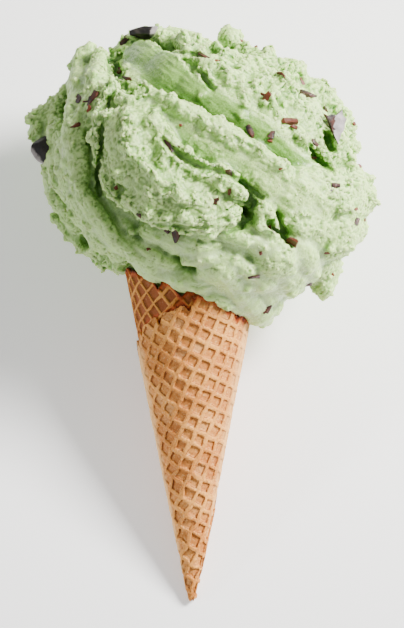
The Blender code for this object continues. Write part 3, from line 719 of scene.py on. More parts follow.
heap_beads = Beads()
for places, half_width, half_thickness, tilt, lift, crumbly in strokes:
    laid = [seen_from_front(x, y) for x, y in places]
    heap_beads.lay_stroke(*zip(*laid), half_width, half_thickness, tilt, lift, crumbly)
for i in range(9):
    longitude = back_from + (back_to - back_from) * i / 8
    laid = []
    for k in range(6):
        latitude = math.radians(64 - 22 * k)
        laid.append(seen_from_behind(longitude + math.radians(8 * (k - 2.5)), latitude))
    heap_beads.lay_stroke(*zip(*laid), 10, 4, 22, 2 * math.sin(2.4 * i) - 0.5, 0.5)
collar = []
outward = []
for k in range(13):
    turn = math.radians(50 + 18 * k)
    y = mouth_height - mouth_slant * math.sin(turn) + 6 * mm
    collar.append(Vector(around(turn, cone_radius(y) - 1 * mm, y)))
    outward.append(Vector(around(turn, 1, 0)))
heap_beads.lay_stroke(collar, outward, 8, 5, 0, 0, 0.2)
brim = []
outward = []
for k in range(6):
    turn = math.radians(4 + 13 * k)
    y = mouth_height - mouth_slant * math.sin(turn) + 4.5 * mm
    brim.append(Vector(around(turn, cone_radius(y) - 2 * mm, y)))
    outward.append(Vector(around(turn, 1, 0)))
heap_beads.lay_stroke(brim, outward, 6, 4.5, 0, 0, 0.25)

# Torn ice cream breaks into clumps, which sit on the crumbly strokes.
rng = random.Random(21)
all_beads = Beads()
all_beads.frames = list(heap_beads.frames)
all_beads.marks = list(heap_beads.marks)
for frame_of_bead, (_, _, crumbly) in zip(heap_beads.frames, heap_beads.marks):
    for _ in range(round(crumbly * 2.2 * frame_of_bead.col[1].length / (6 * mm) + rng.random() * 0.7)):
        lean_out = rng.uniform(0.15, 1.0)
        heading = rng.uniform(0, math.tau)
        side = math.sqrt(1 - lean_out**2)
        place = frame_of_bead @ Vector((side * math.cos(heading), side * math.sin(heading), lean_out))
        all_beads.drop(place, (0.8 + 2.6 * rng.random() ** 2) * (0.5 + 0.5 * crumbly) * mm, rng)

core = bpy.data.meshes.new("core")
bm = bmesh.new()
bmesh.ops.create_icosphere(bm, subdivisions=4, radius=1)
for vert in bm.verts:
    vert.co = heap_centre.lerp(core_surface(vert.co)[0], 0.96)
plug = bmesh.ops.create_cone(bm, segments=48, radius1=17 * mm, radius2=22 * mm, depth=36 * mm, cap_ends=True)
upright = Matrix.Translation((0, 112 * mm, 0)) @ Matrix.Rotation(-math.pi / 2, 4, "X")
bmesh.ops.transform(bm, matrix=upright, verts=plug["verts"])
bm.to_mesh(core)
bm.free()
heap = all_beads.fuse("ice_cream_heap", 0.65 * mm, core)

tree = BVHTree.FromObject(heap, bpy.context.evaluated_depsgraph_get())
groove_beads = Beads()
for places, half_width, depth in grooves:
    laid = []
    for x, y, _ in smooth_path([(x, y, 0) for x, y in places], 4 * len(places)):
        hit = tree.ray_cast(eye, Vector((x, y, 0)) * mm - eye)[0]
        if hit:
            laid.append((hit, Vector((0, 0, 1))))
    groove_beads.lay_stroke(*zip(*laid), half_width * 0.8, depth, 0, 0)
    for hit, _ in laid:
        for _ in range(4):
            aside = Vector([rng.gauss(0, 0.75 * half_width) for _ in range(3)]) * mm
            groove_beads.drop(hit + aside, rng.uniform(0.25, 0.6) * half_width * mm, rng)
# Crumbly ice cream is open between its clumps, in short creases that turn any way.
for frame_of_bead, (_, _, crumbly) in zip(heap_beads.frames, heap_beads.marks):
    if rng.random() > 0.7 * (crumbly - 0.25):
        continue
    above = frame_of_bead @ Vector((rng.uniform(-1, 1), rng.uniform(-0.8, 0.8), 2.0))
    heading = rng.uniform(0, math.tau)
    walk = frame_of_bead.to_3x3() @ Vector((math.cos(heading), math.sin(heading), 0))
    walk = walk.normalized() * 0.9 * mm
    inward = (frame_of_bead.translation - above).normalized()
    for k in range(rng.randint(2, 5)):
        hit = tree.ray_cast(above + walk * k, inward)[0]
        if hit:
            groove_beads.drop(hit + inward * 0.3 * mm, rng.uniform(0.5, 1.1) * mm, rng)
        walk.rotate(Euler((0, 0, rng.uniform(-0.6, 0.6))))
cut(heap, groove_beads.fuse("grooves", 0.55 * mm))
fine = heap.modifiers.new("Fine", "REMESH")
fine.mode = "VOXEL"
fine.voxel_size = skin_size
settle(heap)
keep_largest_shell(heap)

# What each point of the skin belongs to: the nearest bead gives the stroke's grain and crumble.
points = read_points(heap.data)
frames = np.array(heap_beads.frames)
marks = np.array(heap_beads.marks)
near_beads = KDTree(len(frames))
for i, frame_of_bead in enumerate(heap_beads.frames):
    near_beads.insert(frame_of_bead.translation, i)
near_beads.balance()
choice = np.array([[found[1] for found in near_beads.find_n(p, 6)] for p in points])
inverse = np.linalg.inv(frames)
local = np.einsum("vkij,vj->vki", inverse[choice][..., :3, :3], points) + inverse[choice][..., :3, 3]
reach = np.linalg.norm(local, axis=2)
best = reach.argmin(1)
row = np.arange(len(points))
bead = choice[row, best]
local = local[row, best]
size = np.linalg.norm(frames[bead][:, :3, :3], axis=1)
along = marks[bead, 0] / mm + local[:, 0] * size[:, 0] / mm
flow = np.stack((along, local[:, 1] * size[:, 1] / mm, 31.7 * marks[bead, 1]), 1)
on_core = reach[row, best] > 1.5
flow[on_core] = points[on_core] / mm
crumble = np.where(on_core, 0.4, marks[bead, 2])
normals = read_points(heap.data, "normal")
crumble = relax(heap.data, crumble[:, None], 8)[:, 0]
# The smooth strokes are dense cream, and the deeper green they are given is partly painted shade of the
# valley they lie in.
store(heap.data, "dense", np.clip((0.09 - crumble) / 0.06, 0, 1))
wide = relax(heap.data, points, 40)
ridge = ((points - wide) * normals).sum(1) / mm
store(heap.data, "flow", flow)
store(heap.data, "crumble", np.clip(crumble + 0.9 * ridge, 0, 1.3))


def crumbly_skin():
    """Geometry Nodes that raise lumps, grains and drag marks on the strokes."""
    tree = bpy.data.node_groups.new("crumbly_skin", "GeometryNodeTree")
    for label, kind, value in (
        ("Geometry", "NodeSocketGeometry", None),
        ("Lumps", "NodeSocketFloat", 1.0 * mm),
        ("Grains", "NodeSocketFloat", 0.4 * mm),
        ("Drag marks", "NodeSocketFloat", 0.5 * mm),
        ("Finish", "NodeSocketMaterial", None),
    ):
        socket = tree.interface.new_socket(label, in_out="INPUT", socket_type=kind)
        if value is not None:
            socket.default_value = value
    tree.interface.new_socket("Geometry", in_out="OUTPUT", socket_type="NodeSocketGeometry")
    start = Wire(tree)
    given = tree.nodes.new("NodeGroupInput")
    inputs = {socket.name: Wire(tree, socket) for socket in given.outputs}
    position = start.node("GeometryNodeInputPosition")
    flow = start.node("GeometryNodeInputNamedAttribute", {"data_type": "FLOAT_VECTOR"}, {"Name": "flow"})
    crumble = start.node("GeometryNodeInputNamedAttribute", {"data_type": "FLOAT"}, {"Name": "crumble"})
    warp = start.node(
        "ShaderNodeTexNoise", None, {"Vector": position, "Scale": 300.0, "Detail": 2.0}, "Color"
    )
    warp = start.node("ShaderNodeVectorMath", {"operation": "SUBTRACT"}, {0: warp, 1: (0.5, 0.5, 0.5)})
    warp = start.node("ShaderNodeVectorMath", {"operation": "SCALE"}, {0: warp, "Scale": 1.6 * mm})
    warped = start.node("ShaderNodeVectorMath", {"operation": "ADD"}, {0: position, 1: warp})
    drawn = start.node("ShaderNodeVectorMath", {"operation": "MULTIPLY"}, {0: flow, 1: (0.16, 0.3, 1.0)})
    lumps = start.node(
        "ShaderNodeTexNoise",
        None,
        {"Vector": warped, "Scale": 240.0, "Detail": 2.0, "Roughness": 0.5},
    )
    drawn = start.node(
        "ShaderNodeTexNoise",
        None,
        {"Vector": drawn, "Scale": 1.0, "Detail": 3.0, "Roughness": 0.6},
    )
    lumps = (lumps - 0.5).maths("ABSOLUTE") * 2.6 + (drawn - 0.5).maths("ABSOLUTE") * 2.6
    patch = start.node("ShaderNodeTexNoise", None, {"Vector": position, "Scale": 170.0, "Detail": 2.0})
    grains = start.node("ShaderNodeTexVoronoi", None, {"Vector": warped, "Scale": 820.0})
    grains = 1 - grains * grains * 2.2
    long = start.node("ShaderNodeVectorMath", {"operation": "MULTIPLY"}, {0: flow, 1: (0.09, 0.75, 1.0)})
    drag = start.node(
        "ShaderNodeTexNoise",
        None,
        {"Vector": long, "Scale": 1.0, "Detail": 3.0, "Roughness": 0.6},
    )
    hair = start.node("ShaderNodeVectorMath", {"operation": "MULTIPLY"}, {0: flow, 1: (0.3, 2.2, 1.0)})
    hair = start.node("ShaderNodeTexNoise", None, {"Vector": hair, "Scale": 1.0, "Detail": 2.0})
    height = (lumps - 0.5) * crumble.maths("MAXIMUM", 0.1)
    height = height * patch.step(0.35, 0.65, 0.4, 1.5) * inputs["Lumps"]
    height = height + (grains - 0.6) * crumble.maths("MAXIMUM", 0.12) * inputs["Grains"]
    drawn_out = (drag - 0.5) * 2.4 + (hair - 0.5) * 0.8
    height = height + drawn_out * crumble.step(0.1, 0.8, 1.0, 0.35) * inputs["Drag marks"]
    normal = start.node("GeometryNodeInputNormal")
    offset = start.node("ShaderNodeVectorMath", {"operation": "SCALE"}, {0: normal, "Scale": height})
    moved = start.node("GeometryNodeSetPosition", None, {"Geometry": inputs["Geometry"], "Offset": offset})
    realized = start.node("GeometryNodeRealizeInstances", None, {0: moved})
    dressed = start.node(
        "GeometryNodeSetMaterial", None, {"Geometry": realized, "Material": inputs["Finish"]}
    )
    out = tree.nodes.new("NodeGroupOutput")
    tree.links.new(dressed.socket, out.inputs[0])
    return tree


cream_finish, w, shader = new_finish("green_ice_cream")
place = w.node("ShaderNodeTexCoord", output="Object")
cave = w.node("ShaderNodeAttribute", {"attribute_name": "cave"}, output="Fac")
pit = w.node("ShaderNodeAttribute", {"attribute_name": "pit"}, output="Fac")
clouds = w.node("ShaderNodeTexNoise", None, {"Vector": place, "Scale": 70.0, "Detail": 4.0, "Roughness": 0.6})
froth = w.node(
    "ShaderNodeTexNoise",
    None,
    {"Vector": place, "Scale": 1100.0, "Detail": 3.0, "Roughness": 0.7},
)
dense = w.node("ShaderNodeAttribute", {"attribute_name": "dense"}, output="Fac")
loose = w.node("ShaderNodeAttribute", {"attribute_name": "crumble"}, output="Fac")
watery = (1 - loose.step(0.05, 0.35)) * (1 - dense)
# Painted light and shade: the colour runs darker and greener with the painted crease shade, the relief
# shading and on the shaded dense strokes, and lighter on rounded crests.
depth = cave + pit * (0.55 + loose * 0.35) + dense * 0.45 - watery * 0.22
depth = depth + (clouds - 0.5) * 0.35 + (froth - 0.5) * 0.25
cream = depth.step(-0.15, 0.5).mix(rgba(192, 224, 140), rgba(138, 178, 90))
cream = depth.step(0.45, 1.0).mix(cream, rgba(90, 136, 46))
cream = depth.step(0.95, 1.5).mix(cream, rgba(40, 116, 4))
milky = depth.step(-0.2, 0.8).mix(rgba(186, 212, 148), rgba(104, 142, 72))
cream = (watery * 0.75).mix(cream, milky)
w.tree.links.new(cream.socket, shader.inputs["Base Color"])
wet = froth.step(0.3, 0.7, 0.22, 0.45) + loose.step(0.1, 0.6, 0.0, 0.18)
w.tree.links.new(wet.socket, shader.inputs["Roughness"])
shader.inputs["Subsurface Weight"].default_value = 0.55
shader.inputs["Subsurface Radius"].default_value = (1.0, 1.5, 0.6)
shader.inputs["Subsurface Scale"].default_value = 1.8 * mm
shader.inputs["Specular IOR Level"].default_value = 0.55
bubbles = w.node("ShaderNodeTexVoronoi", None, {"Vector": place, "Scale": 1500.0})
granules = w.node(
    "ShaderNodeTexNoise",
    None,
    {"Vector": place, "Scale": 520.0, "Detail": 3.0, "Roughness": 0.6},
)
relief = froth + bubbles * 0.3 + granules * loose.step(0.0, 0.6, 0.6, 2.4)
bump = w.node("ShaderNodeBump", None, {"Height": relief, "Distance": 0.5 * mm, "Strength": 0.5})
w.tree.links.new(bump.socket, shader.inputs["Normal"])

crumbly = heap.modifiers.new("Crumbly", "NODES")
crumbly.node_group = crumbly_skin()
amounts = {"Lumps": 1.7 * mm, "Grains": 0.35 * mm, "Drag marks": 0.4 * mm, "Finish": cream_finish}
give_inputs(crumbly, amounts)
settle(heap)

# Painted shade and highlight: light hardly reaches the creases, so they are coloured darker and a deeper
# green, and rounded crests are coloured lighter.
points = read_points(heap.data)
normals = read_points(heap.data, "normal")
small = ((relax(heap.data, points, 3) - points) * normals).sum(1) / mm
middle = ((relax(heap.data, points, 25) - points) * normals).sum(1) / mm
store(heap.data, "pit", np.clip(small * 3 + middle * 0.8, -1, 1.5))
tree = BVHTree.FromObject(heap, bpy.context.evaluated_depsgraph_get())
draw = random.Random(11)
rays = []
for k in range(20):
    height = math.sqrt((k + 0.5) / 20)
    across = math.sqrt(1 - height * height)
    rays.append((across * math.cos(2.4 * k), across * math.sin(2.4 * k), height))
sample = np.array(sorted(draw.sample(range(len(points)), min(len(points), 22000))))
near_samples = KDTree(len(sample))
shut = np.zeros(len(sample))
for i, index in enumerate(sample):
    up = Vector(normals[index])
    start_point = Vector(points[index]) + up * 0.8 * mm
    turn = Vector((0, 0, 1)).rotation_difference(up).to_matrix()
    blocked = sum(tree.ray_cast(start_point, turn @ Vector(ray), 14 * mm)[0] is not None for ray in rays)
    shut[i] = blocked / len(rays)
    near_samples.insert(points[index], i)
near_samples.balance()
cave = np.array([shut[[found[1] for found in near_samples.find_n(p, 3)]].mean() for p in points])
store(heap.data, "cave", relax(heap.data, cave[:, None], 3)[:, 0])

# The wafer's wall is cut out of the ice cream, 5 mm wider where the wall shows bare.
wall = bpy.data.meshes.new("wall")
wall_steps = 360
wall_foot = 60 * mm
rings = []
for i in range(wall_steps):
    turn = math.tau * i / wall_steps
    bare = min(1.0, max(0.0, 4 * math.cos(turn + 0.74) - 1.6))
    top = mouth_height - mouth_slant * math.sin(turn) + 0.3 * mm
    top += bare * (mouth_y(turn + math.tau * (turn < math.pi / 2)) - top)
    outer = [around(turn, cone_radius(y) + (0.25 + 5 * bare) * mm, y) for y in (wall_foot, top)]
    inner = [around(turn, cone_radius(y) - 2.9 * mm, y) for y in (top, wall_foot)]
    rings.append(outer + inner)
faces = []
for i in range(wall_steps):
    for k in range(4):
        a, b = 4 * i, 4 * ((i + 1) % wall_steps)
        faces.append((a + k, b + k, b + (k + 1) % 4, a + (k + 1) % 4))
wall.from_pydata([p for ring in rings for p in ring], [], faces)
wall.validate()
bm = bmesh.new()
bm.from_mesh(wall)
bmesh.ops.recalc_face_normals(bm, faces=bm.faces)
bm.to_mesh(wall)
bm.free()
cut(heap, link_object("wall", wall))
heap.data.transform(lying)
block = bpy.data.meshes.new("block")
bm = bmesh.new()
bmesh.ops.create_cube(bm, size=0.4, matrix=Matrix.Translation((0, 0, -0.2 + 0.05 * mm)))
bm.to_mesh(block)
bm.free()
cut(heap, link_object("block", block))
heap.data.shade_smooth()

# The export takes meshes of limited size, so the heap goes out in four quarters. They keep the
# whole heap's normals, so the joins don't show.
whole = heap.data
normals = read_points(whole, "normal")
middles = np.empty(len(whole.polygons) * 3)
whole.polygons.foreach_get("center", middles)
middles = middles.reshape(-1, 3)
for name, is_left, is_low in (
    ("ice_cream_left_low", True, True),
    ("ice_cream_left_high", True, False),
    ("ice_cream_right_low", False, True),
    ("ice_cream_right_high", False, False),
):
    bm = bmesh.new()
    bm.from_mesh(whole)
    index_layer = bm.verts.layers.int.new("first_index")
    for vert in bm.verts:
        vert[index_layer] = vert.index
    kept = ((middles[:, 0] < 2 * mm) == is_left) & ((middles[:, 1] < 0) == is_low)
    bmesh.ops.delete(bm, geom=[f for f, stays in zip(bm.faces, kept) if not stays], context="FACES")
    quarter = bpy.data.meshes.new(name)
    bm.to_mesh(quarter)
    bm.free()
    first_index = np.empty(len(quarter.vertices), dtype=np.int32)
    quarter.attributes["first_index"].data.foreach_get("value", first_index)
    quarter.attributes.remove(quarter.attributes["first_index"])
    quarter.normals_split_custom_set_from_vertices(normals[first_index].tolist())
    piece = link_object(name, quarter, cream_finish)
    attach(piece, "root")
    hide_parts("ice_cream")
heap_tree = BVHTree.FromObject(heap, bpy.context.evaluated_depsgraph_get())


# Loose crumbs.
# Where the spatula tore the ice cream, small frozen crumbs stay stuck to its skin.


def crumb_scatter():
    tree = bpy.data.node_groups.new("crumb_scatter", "GeometryNodeTree")
    for label, kind, value in (
        ("Geometry", "NodeSocketGeometry", None),
        ("Crumbs per square metre", "NodeSocketFloat", 400000.0),
        ("Smallest", "NodeSocketFloat", 0.25 * mm),
        ("Largest", "NodeSocketFloat", 0.8 * mm),
        ("Seed", "NodeSocketInt", 5),
        ("Finish", "NodeSocketMaterial", None),
    ):
        socket = tree.interface.new_socket(label, in_out="INPUT", socket_type=kind)
        if value is not None:
            socket.default_value = value
    tree.interface.new_socket("Geometry", in_out="OUTPUT", socket_type="NodeSocketGeometry")
    start = Wire(tree)
    given = tree.nodes.new("NodeGroupInput")
    inputs = {socket.name: Wire(tree, socket) for socket in given.outputs}
    crumble = start.node("GeometryNodeInputNamedAttribute", {"data_type": "FLOAT"}, {"Name": "crumble"})
    room = start.node("GeometryNodeInputNamedAttribute", {"data_type": "FLOAT"}, {"Name": "room"})
    density = crumble.step(0.15, 1.0) * room * inputs["Crumbs per square metre"]
    points = start.node(
        "GeometryNodeDistributePointsOnFaces",
        None,
        {"Mesh": inputs["Geometry"], "Density": density, "Seed": inputs["Seed"]},
    )
    stood_on = Wire(tree, points.socket.node.outputs["Normal"])
    crumb = start.node("GeometryNodeMeshIcoSphere", None, {"Radius": 1.0, "Subdivisions": 1})
    turn = start.node(
        "FunctionNodeRandomValue", {"data_type": "FLOAT_VECTOR"}, {0: (0, 0, 0), 1: (6.3, 6.3, 6.3)}
    )
    share = start.node("FunctionNodeRandomValue", {"data_type": "FLOAT"}, {2: 0.0, 3: 1.0, "Seed": 3}, 1)
    size = inputs["Smallest"] + share.maths("POWER", 2.5) * (inputs["Largest"] - inputs["Smallest"])
    squash = start.node(
        "FunctionNodeRandomValue",
        {"data_type": "FLOAT_VECTOR"},
        {0: (0.7, 0.7, 0.7), 1: (1.3, 1.3, 1.3), "Seed": 4},
    )
    scale = start.node("ShaderNodeVectorMath", {"operation": "SCALE"}, {0: squash, "Scale": size})
    under = start.node("ShaderNodeVectorMath", {"operation": "SCALE"}, {0: stood_on, "Scale": size * -0.45})
    sunk = start.node("GeometryNodeSetPosition", None, {"Geometry": points, "Offset": under})
    laid = start.node(
        "GeometryNodeInstanceOnPoints",
        None,
        {"Points": sunk, "Instance": crumb, "Rotation": turn, "Scale": scale},
    )
    realized = start.node("GeometryNodeRealizeInstances", None, {0: laid})
    dressed = start.node(
        "GeometryNodeSetMaterial", None, {"Geometry": realized, "Material": inputs["Finish"]}
    )
    out = tree.nodes.new("NodeGroupOutput")
    tree.links.new(dressed.socket, out.inputs[0])
    return tree


points = read_points(heap.data)
upright_points = (points - np.array(lying.translation)) @ np.array(lying.to_3x3())
around_axis = np.hypot(upright_points[:, 0], upright_points[:, 2])
near_wafer = (upright_points[:, 1] < mouth_height + 13 * mm) & (around_axis < 27 * mm)
store(heap.data, "room", np.where((points[:, 2] > 2 * mm) & ~near_wafer, 1.0, 0.0))
scatter = heap.modifiers.new("Crumbs", "NODES")
scatter.node_group = crumb_scatter()
give_inputs(scatter, {"Crumbs per square metre": 300000.0, "Finish": cream_finish})
settle(heap)
heap.name = "loose_crumbs"
heap.data.name = "loose_crumbs"
heap.data.shade_smooth()
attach(heap, "root")
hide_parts("ice_cream")


# Flakes and chunks of chocolate.
# Dark chocolate was stirred into the churn, where it set and broke into thin plates with sharp
# edges. Frost greys some faces, a painted sheen greys the left chunk's rim, and the smallest
# bits look reddish under the cream.

chocolate_finish, w, shader = new_finish("dark_chocolate")
place = w.node("ShaderNodeTexCoord", output="Object")
frost = w.node("ShaderNodeAttribute", {"attribute_name": "frost"}, output="Fac")
small_bit = w.node("ShaderNodeAttribute", {"attribute_name": "small_bit"}, output="Fac")
mottle = w.node(
    "ShaderNodeTexNoise",
    None,
    {"Vector": place, "Scale": 420.0, "Detail": 4.0, "Roughness": 0.65},
)
plain = w.node("ShaderNodeAttribute", {"attribute_name": "dull"}, output="Fac")
brown = mottle.step(0.38, 0.62).mix(rgba(22, 10, 9), rgba(74, 33, 18))
brown = plain.mix(brown, mottle.step(0.4, 0.65).mix(rgba(14, 11, 11), rgba(44, 36, 34)))
brown = small_bit.mix(brown, rgba(104, 44, 18))
# Frost greys some faces; the grey along the left chunk's rim is a painted sheen.
brown = (frost + (mottle - 0.5) * 1.1).step(0.4, 0.8).mix(brown, rgba(160, 152, 152))
w.tree.links.new(brown.socket, shader.inputs["Base Color"])
w.tree.links.new(mottle.step(0.3, 0.7, 0.35, 0.65).socket, shader.inputs["Roughness"])
bump = w.node("ShaderNodeBump", None, {"Height": mottle, "Distance": 0.4 * mm, "Strength": 0.6})
w.tree.links.new(bump.socket, shader.inputs["Normal"])


def break_off(rng, size, cuts, rough, divided):
    """A block with its corners snapped off, at true size, as a closed mesh."""
    bm = bmesh.new()
    bmesh.ops.create_cube(bm, size=1)
    for _ in range(cuts):
        away = Vector((rng.gauss(0, 1), rng.gauss(0, 1), rng.gauss(0, 0.6))).normalized()
        reach = rng.uniform(0.3, 0.44)
        geometry = bm.verts[:] + bm.edges[:] + bm.faces[:]
        made = bmesh.ops.bisect_plane(
            bm, geom=geometry, plane_co=away * reach, plane_no=away, clear_outer=True
        )
        rim = [e for e in made["geom_cut"] if isinstance(e, bmesh.types.BMEdge)]
        bmesh.ops.edgenet_fill(bm, edges=rim)
    bmesh.ops.transform(bm, matrix=Matrix.Diagonal((*size, 1)), verts=bm.verts)
    bmesh.ops.triangulate(bm, faces=bm.faces)
    grain = max(size) / 3
    offset = Vector((rng.random() * 9, 3, 1))
    for _ in range(divided):
        bmesh.ops.subdivide_edges(bm, edges=bm.edges, cuts=1, use_grid_fill=True)
    for vert in bm.verts:
        vert.co += noise.noise_vector(vert.co / grain + offset) * rough
    bmesh.ops.recalc_face_normals(bm, faces=bm.faces)
    return bm


def add_bit(whole, bm, matrix, frost_and_sheen_mark, bit, dull=0.0):
    """Adds one piece of chocolate to a joined mesh, with its marks for the material."""
    bmesh.ops.transform(bm, matrix=matrix, verts=bm.verts)
    for label, value in (("frost", frost_and_sheen_mark), ("small_bit", bit), ("dull", dull)):
        layer = bm.verts.layers.float.get(label) or bm.verts.layers.float.new(label)
        for vert in bm.verts:
            vert[layer] = value(vert) if callable(value) else value
    made = bpy.data.meshes.new("bit")
    bm.to_mesh(made)
    bm.free()
    whole.from_mesh(made)
    bpy.data.meshes.remove(made)


# Flakes that show: (x, y, length, width, turn in degrees) in mm, and the same for small bits.
shown_flakes = (
    (-26.5, 196, 5.5, 3, 30), (-23.5, 193.5, 3.4, 2, -50),
    (-24.5, 207, 4, 2, 40), (33, 195, 3.5, 1.6, -10), (28, 186.5, 4.5, 2.6, 60), (43, 187.5, 7, 2, -12),
    (49.5, 182, 4, 2, 30), (35.5, 178, 5.5, 2.6, 10), (29.5, 172.5, 2.6, 2.2, 0), (22, 173.5, 4.4, 2, -70),
    (45, 170, 3.4, 1.8, -40), (-8.5, 169, 5, 1.4, -65), (13.5, 158.5, 3, 2, -30), (8.5, 148, 2.6, 1.8, 20),
    (-20, 143, 4.4, 1.2, -35), (-6, 136, 5.5, 4, 70), (61, 140.5, 3.2, 2.2, 10), (53, 153.5, 3, 1.8, 0),
    (37, 133, 3.6, 2.6, -40), (28, 108.5, 3.4, 2, 80), (43.5, 117.5, 2.4, 2, 0), (23, 120, 3.4, 1.4, 0),
    (-37, 186, 5, 1.8, 60), (-42, 186, 4.4, 1.8, 75), (-43, 176, 2.6, 2.2, 0), (5, 201.5, 4.4, 1.2, -30),
)
shown_bits = (
    (18.5, 207, 3.5, 0.8, -15), (23.5, 205, 1.4, 1.2, 0), (9, 200, 2, 1, 20), (41, 192, 3, 1, -70),
    (29, 170, 1.8, 1.5, 0), (14, 151.5, 1.2, 2, 0), (-28, 153, 1.5, 1.5, 30), (-16, 130, 1.2, 1, 0),
    (60.5, 145, 1.4, 1, 0), (64, 141, 1.4, 1, 0), (28.5, 138, 1, 2, 0), (25.5, 129, 1, 1.6, 10),
    (52, 121, 1.2, 1, 0), (50, 129, 2.5, 1, 10), (-38, 182, 2, 1.4, 60), (60, 176.5, 1.4, 1.2, 0),
    (62, 161, 1.6, 1.3, 20), (45, 164, 2, 1.6, 0), (-4, 176, 1.2, 0.9, 0), (33, 160, 1.2, 0.9, 40),
)
rng = random.Random(3)
flakes = bmesh.new()
spots = []
for bit, table in ((0.0, shown_flakes), (1.0, shown_bits)):
    for x, y, length, width, turn in table:
        toward = lying @ (Vector((x, y, 0)) * mm) - lying @ eye
        hit, normal, _, _ = heap_tree.ray_cast(lying @ eye, toward)
        if hit:
            spots.append((hit, normal, length, width, math.radians(turn), bit))
hidden_count = 60
for k in range(hidden_count):
    latitude = math.asin(0.9 - 1.6 * (k + 0.5) / hidden_count)
    longitude = back_from + (back_to - back_from) * ((k * 0.618 + 0.05) % 1)
    away = (seen_from_behind(longitude, latitude)[0] - heap_centre).normalized()
    middle = lying @ heap_centre
    toward = lying.to_3x3() @ away
    hit, normal, _, _ = heap_tree.ray_cast(middle + toward * 0.2, -toward)
    if hit and hit.z > 3 * mm:
        length = rng.uniform(1.2, 5)
        width = length * rng.uniform(0.35, 0.7)
        spots.append((hit, normal, length, width, rng.uniform(0, math.pi), float(length < 2.2)))
for hit, normal, length, width, turn, bit in spots:
    thickness = min(1.4, 0.4 + 0.3 * width)
    stood = Vector((0, 0, 1)).rotation_difference(normal).to_matrix().to_4x4()
    frost_and_sheen_mark = rng.choice((0.0, 0.05, 0.4)) * (1 - bit)
    reddish = max(bit, rng.choice((0.0, 0.1, 0.6)))
    for part in range(1 if bit else rng.randint(2, 3)):
        share = 1.0 if part == 0 else rng.uniform(0.25, 0.45)
        size = Vector((length, width, thickness)) * mm * 1.25 * share
        bm = break_off(rng, size, 6, 0.14 * width * mm * share, 1)
        spin = Matrix.Rotation(turn + part * rng.uniform(-1, 1), 4, "Z")
        spin = spin @ Matrix.Rotation(rng.uniform(-0.7, 0.7), 4, "X")
        aside = Vector((rng.uniform(-0.75, 0.75) * length, rng.uniform(-0.9, 0.9) * width, 0))
        aside = aside * mm * min(part, 1)
        sunk = Matrix.Translation(hit - normal * (0.05 + 0.1 * part) * mm)
        add_bit(flakes, bm, sunk @ stood @ spin @ Matrix.Translation(aside), frost_and_sheen_mark, reddish)
flake_mesh = bpy.data.meshes.new("chocolate_flakes")
flakes.to_mesh(flake_mesh)
flakes.free()
piece = link_object("chocolate_flakes", flake_mesh, chocolate_finish)
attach(piece, "root")
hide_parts("ice_cream")

# Two of the three larger chunks, the third being the shard below: place in mm, size in mm, turns in degrees.
for name, place, size, turns, seed in (
    ("chocolate_chunk_left", (-52.9, 167.0, 5.5), (9.6, 13.5, 9), (0, -20, 30), 1),
    ("chocolate_chunk_top", (-17.5, 210, 6), (10.5, 4.5, 6), (0, 0, 8), 2),
):
    bm = break_off(random.Random(seed), Vector(size) * mm * 1.15, 14 if seed == 1 else 9, 0.6 * mm, 3)
    for _ in range(9 if seed == 1 else 2):
        bmesh.ops.smooth_vert(
            bm, verts=bm.verts, factor=0.5, use_axis_x=True, use_axis_y=True, use_axis_z=True
        )
    turned = [math.radians(t) for t in turns]
    matrix = lying @ Matrix.Translation(Vector(place) * mm) @ Euler(turned).to_matrix().to_4x4()
    whole = bmesh.new()
    edges = {
        "chocolate_chunk_left": Vector((-0.8, -0.6, 0)),
        "chocolate_chunk_top": Vector((0.9, -0.3, 0.3)),
    }
    middle = lying @ (Vector(place) * mm)
    grey_edge_way = lying.to_3x3() @ edges[name]
    reach = max(size[0], size[1]) / 2 * mm

    def grey_edge(vertex):
        """The chunk turns grey towards one edge; on the left chunk this is a painted sheen along its rim."""
        along = (vertex.co - middle).dot(grey_edge_way) / reach
        return 0.8 * min(1, max(0, along * 3 - 1.2))

    add_bit(whole, bm, matrix, grey_edge, 0.0, 1.0)
    mesh = bpy.data.meshes.new(name)
    whole.to_mesh(mesh)
    whole.free()
    piece = link_object(name + "_broken", mesh, chocolate_finish)
    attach(piece, "root")
    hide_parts(name)

# The shard on the right is a thin plate, broken to points, that shows its frosted face.
outline = (
    (-4.4, 5.0), (-2.6, 4.0), (-1.2, 4.6), (0.2, 4.1), (1.4, 4.9), (2.6, 6.0), (2.9, 3.9),
    (4.2, 2.6), (3.6, 1.0), (3.2, -1.2), (1.8, -2.6), (0.6, -6.2), (-0.7, -3.4), (-2.0, 0.2), (-3.0, 2.8),
)
bm = bmesh.new()
front = [bm.verts.new((x * mm, y * mm, 0.55 * mm)) for x, y in outline]
back = [bm.verts.new((x * mm * 1.08, y * mm * 1.03, -0.55 * mm)) for x, y in outline]
bm.faces.new(front)
bm.faces.new(back[::-1])
for i in range(len(outline)):
    j = (i + 1) % len(outline)
    bm.faces.new((front[j], front[i], back[i], back[j]))
bmesh.ops.triangulate(bm, faces=bm.faces)
for _ in range(2):
    bmesh.ops.subdivide_edges(bm, edges=bm.edges, cuts=1, use_grid_fill=True)
for vert in bm.verts:
    vert.co.z += 0.5 * mm * noise.noise(vert.co / (2.5 * mm))
bmesh.ops.recalc_face_normals(bm, faces=bm.faces)
toward = (lying @ (Vector((53.2, 175.4, 0)) * mm) - lying @ eye).normalized()
hit = heap_tree.ray_cast(lying @ eye, toward)[0]
leaned = Euler([math.radians(t) for t in (8, 22, 6)]).to_matrix().to_4x4()
matrix = Matrix.Translation(hit - toward * 4.6 * mm) @ lying.to_3x3().to_4x4() @ leaned
whole = bmesh.new()
face_way = matrix.to_3x3() @ Vector((0, 0, 1))
shard_middle = matrix.translation.copy()
left_way = matrix.to_3x3() @ Vector((-1, 0.12, 0))


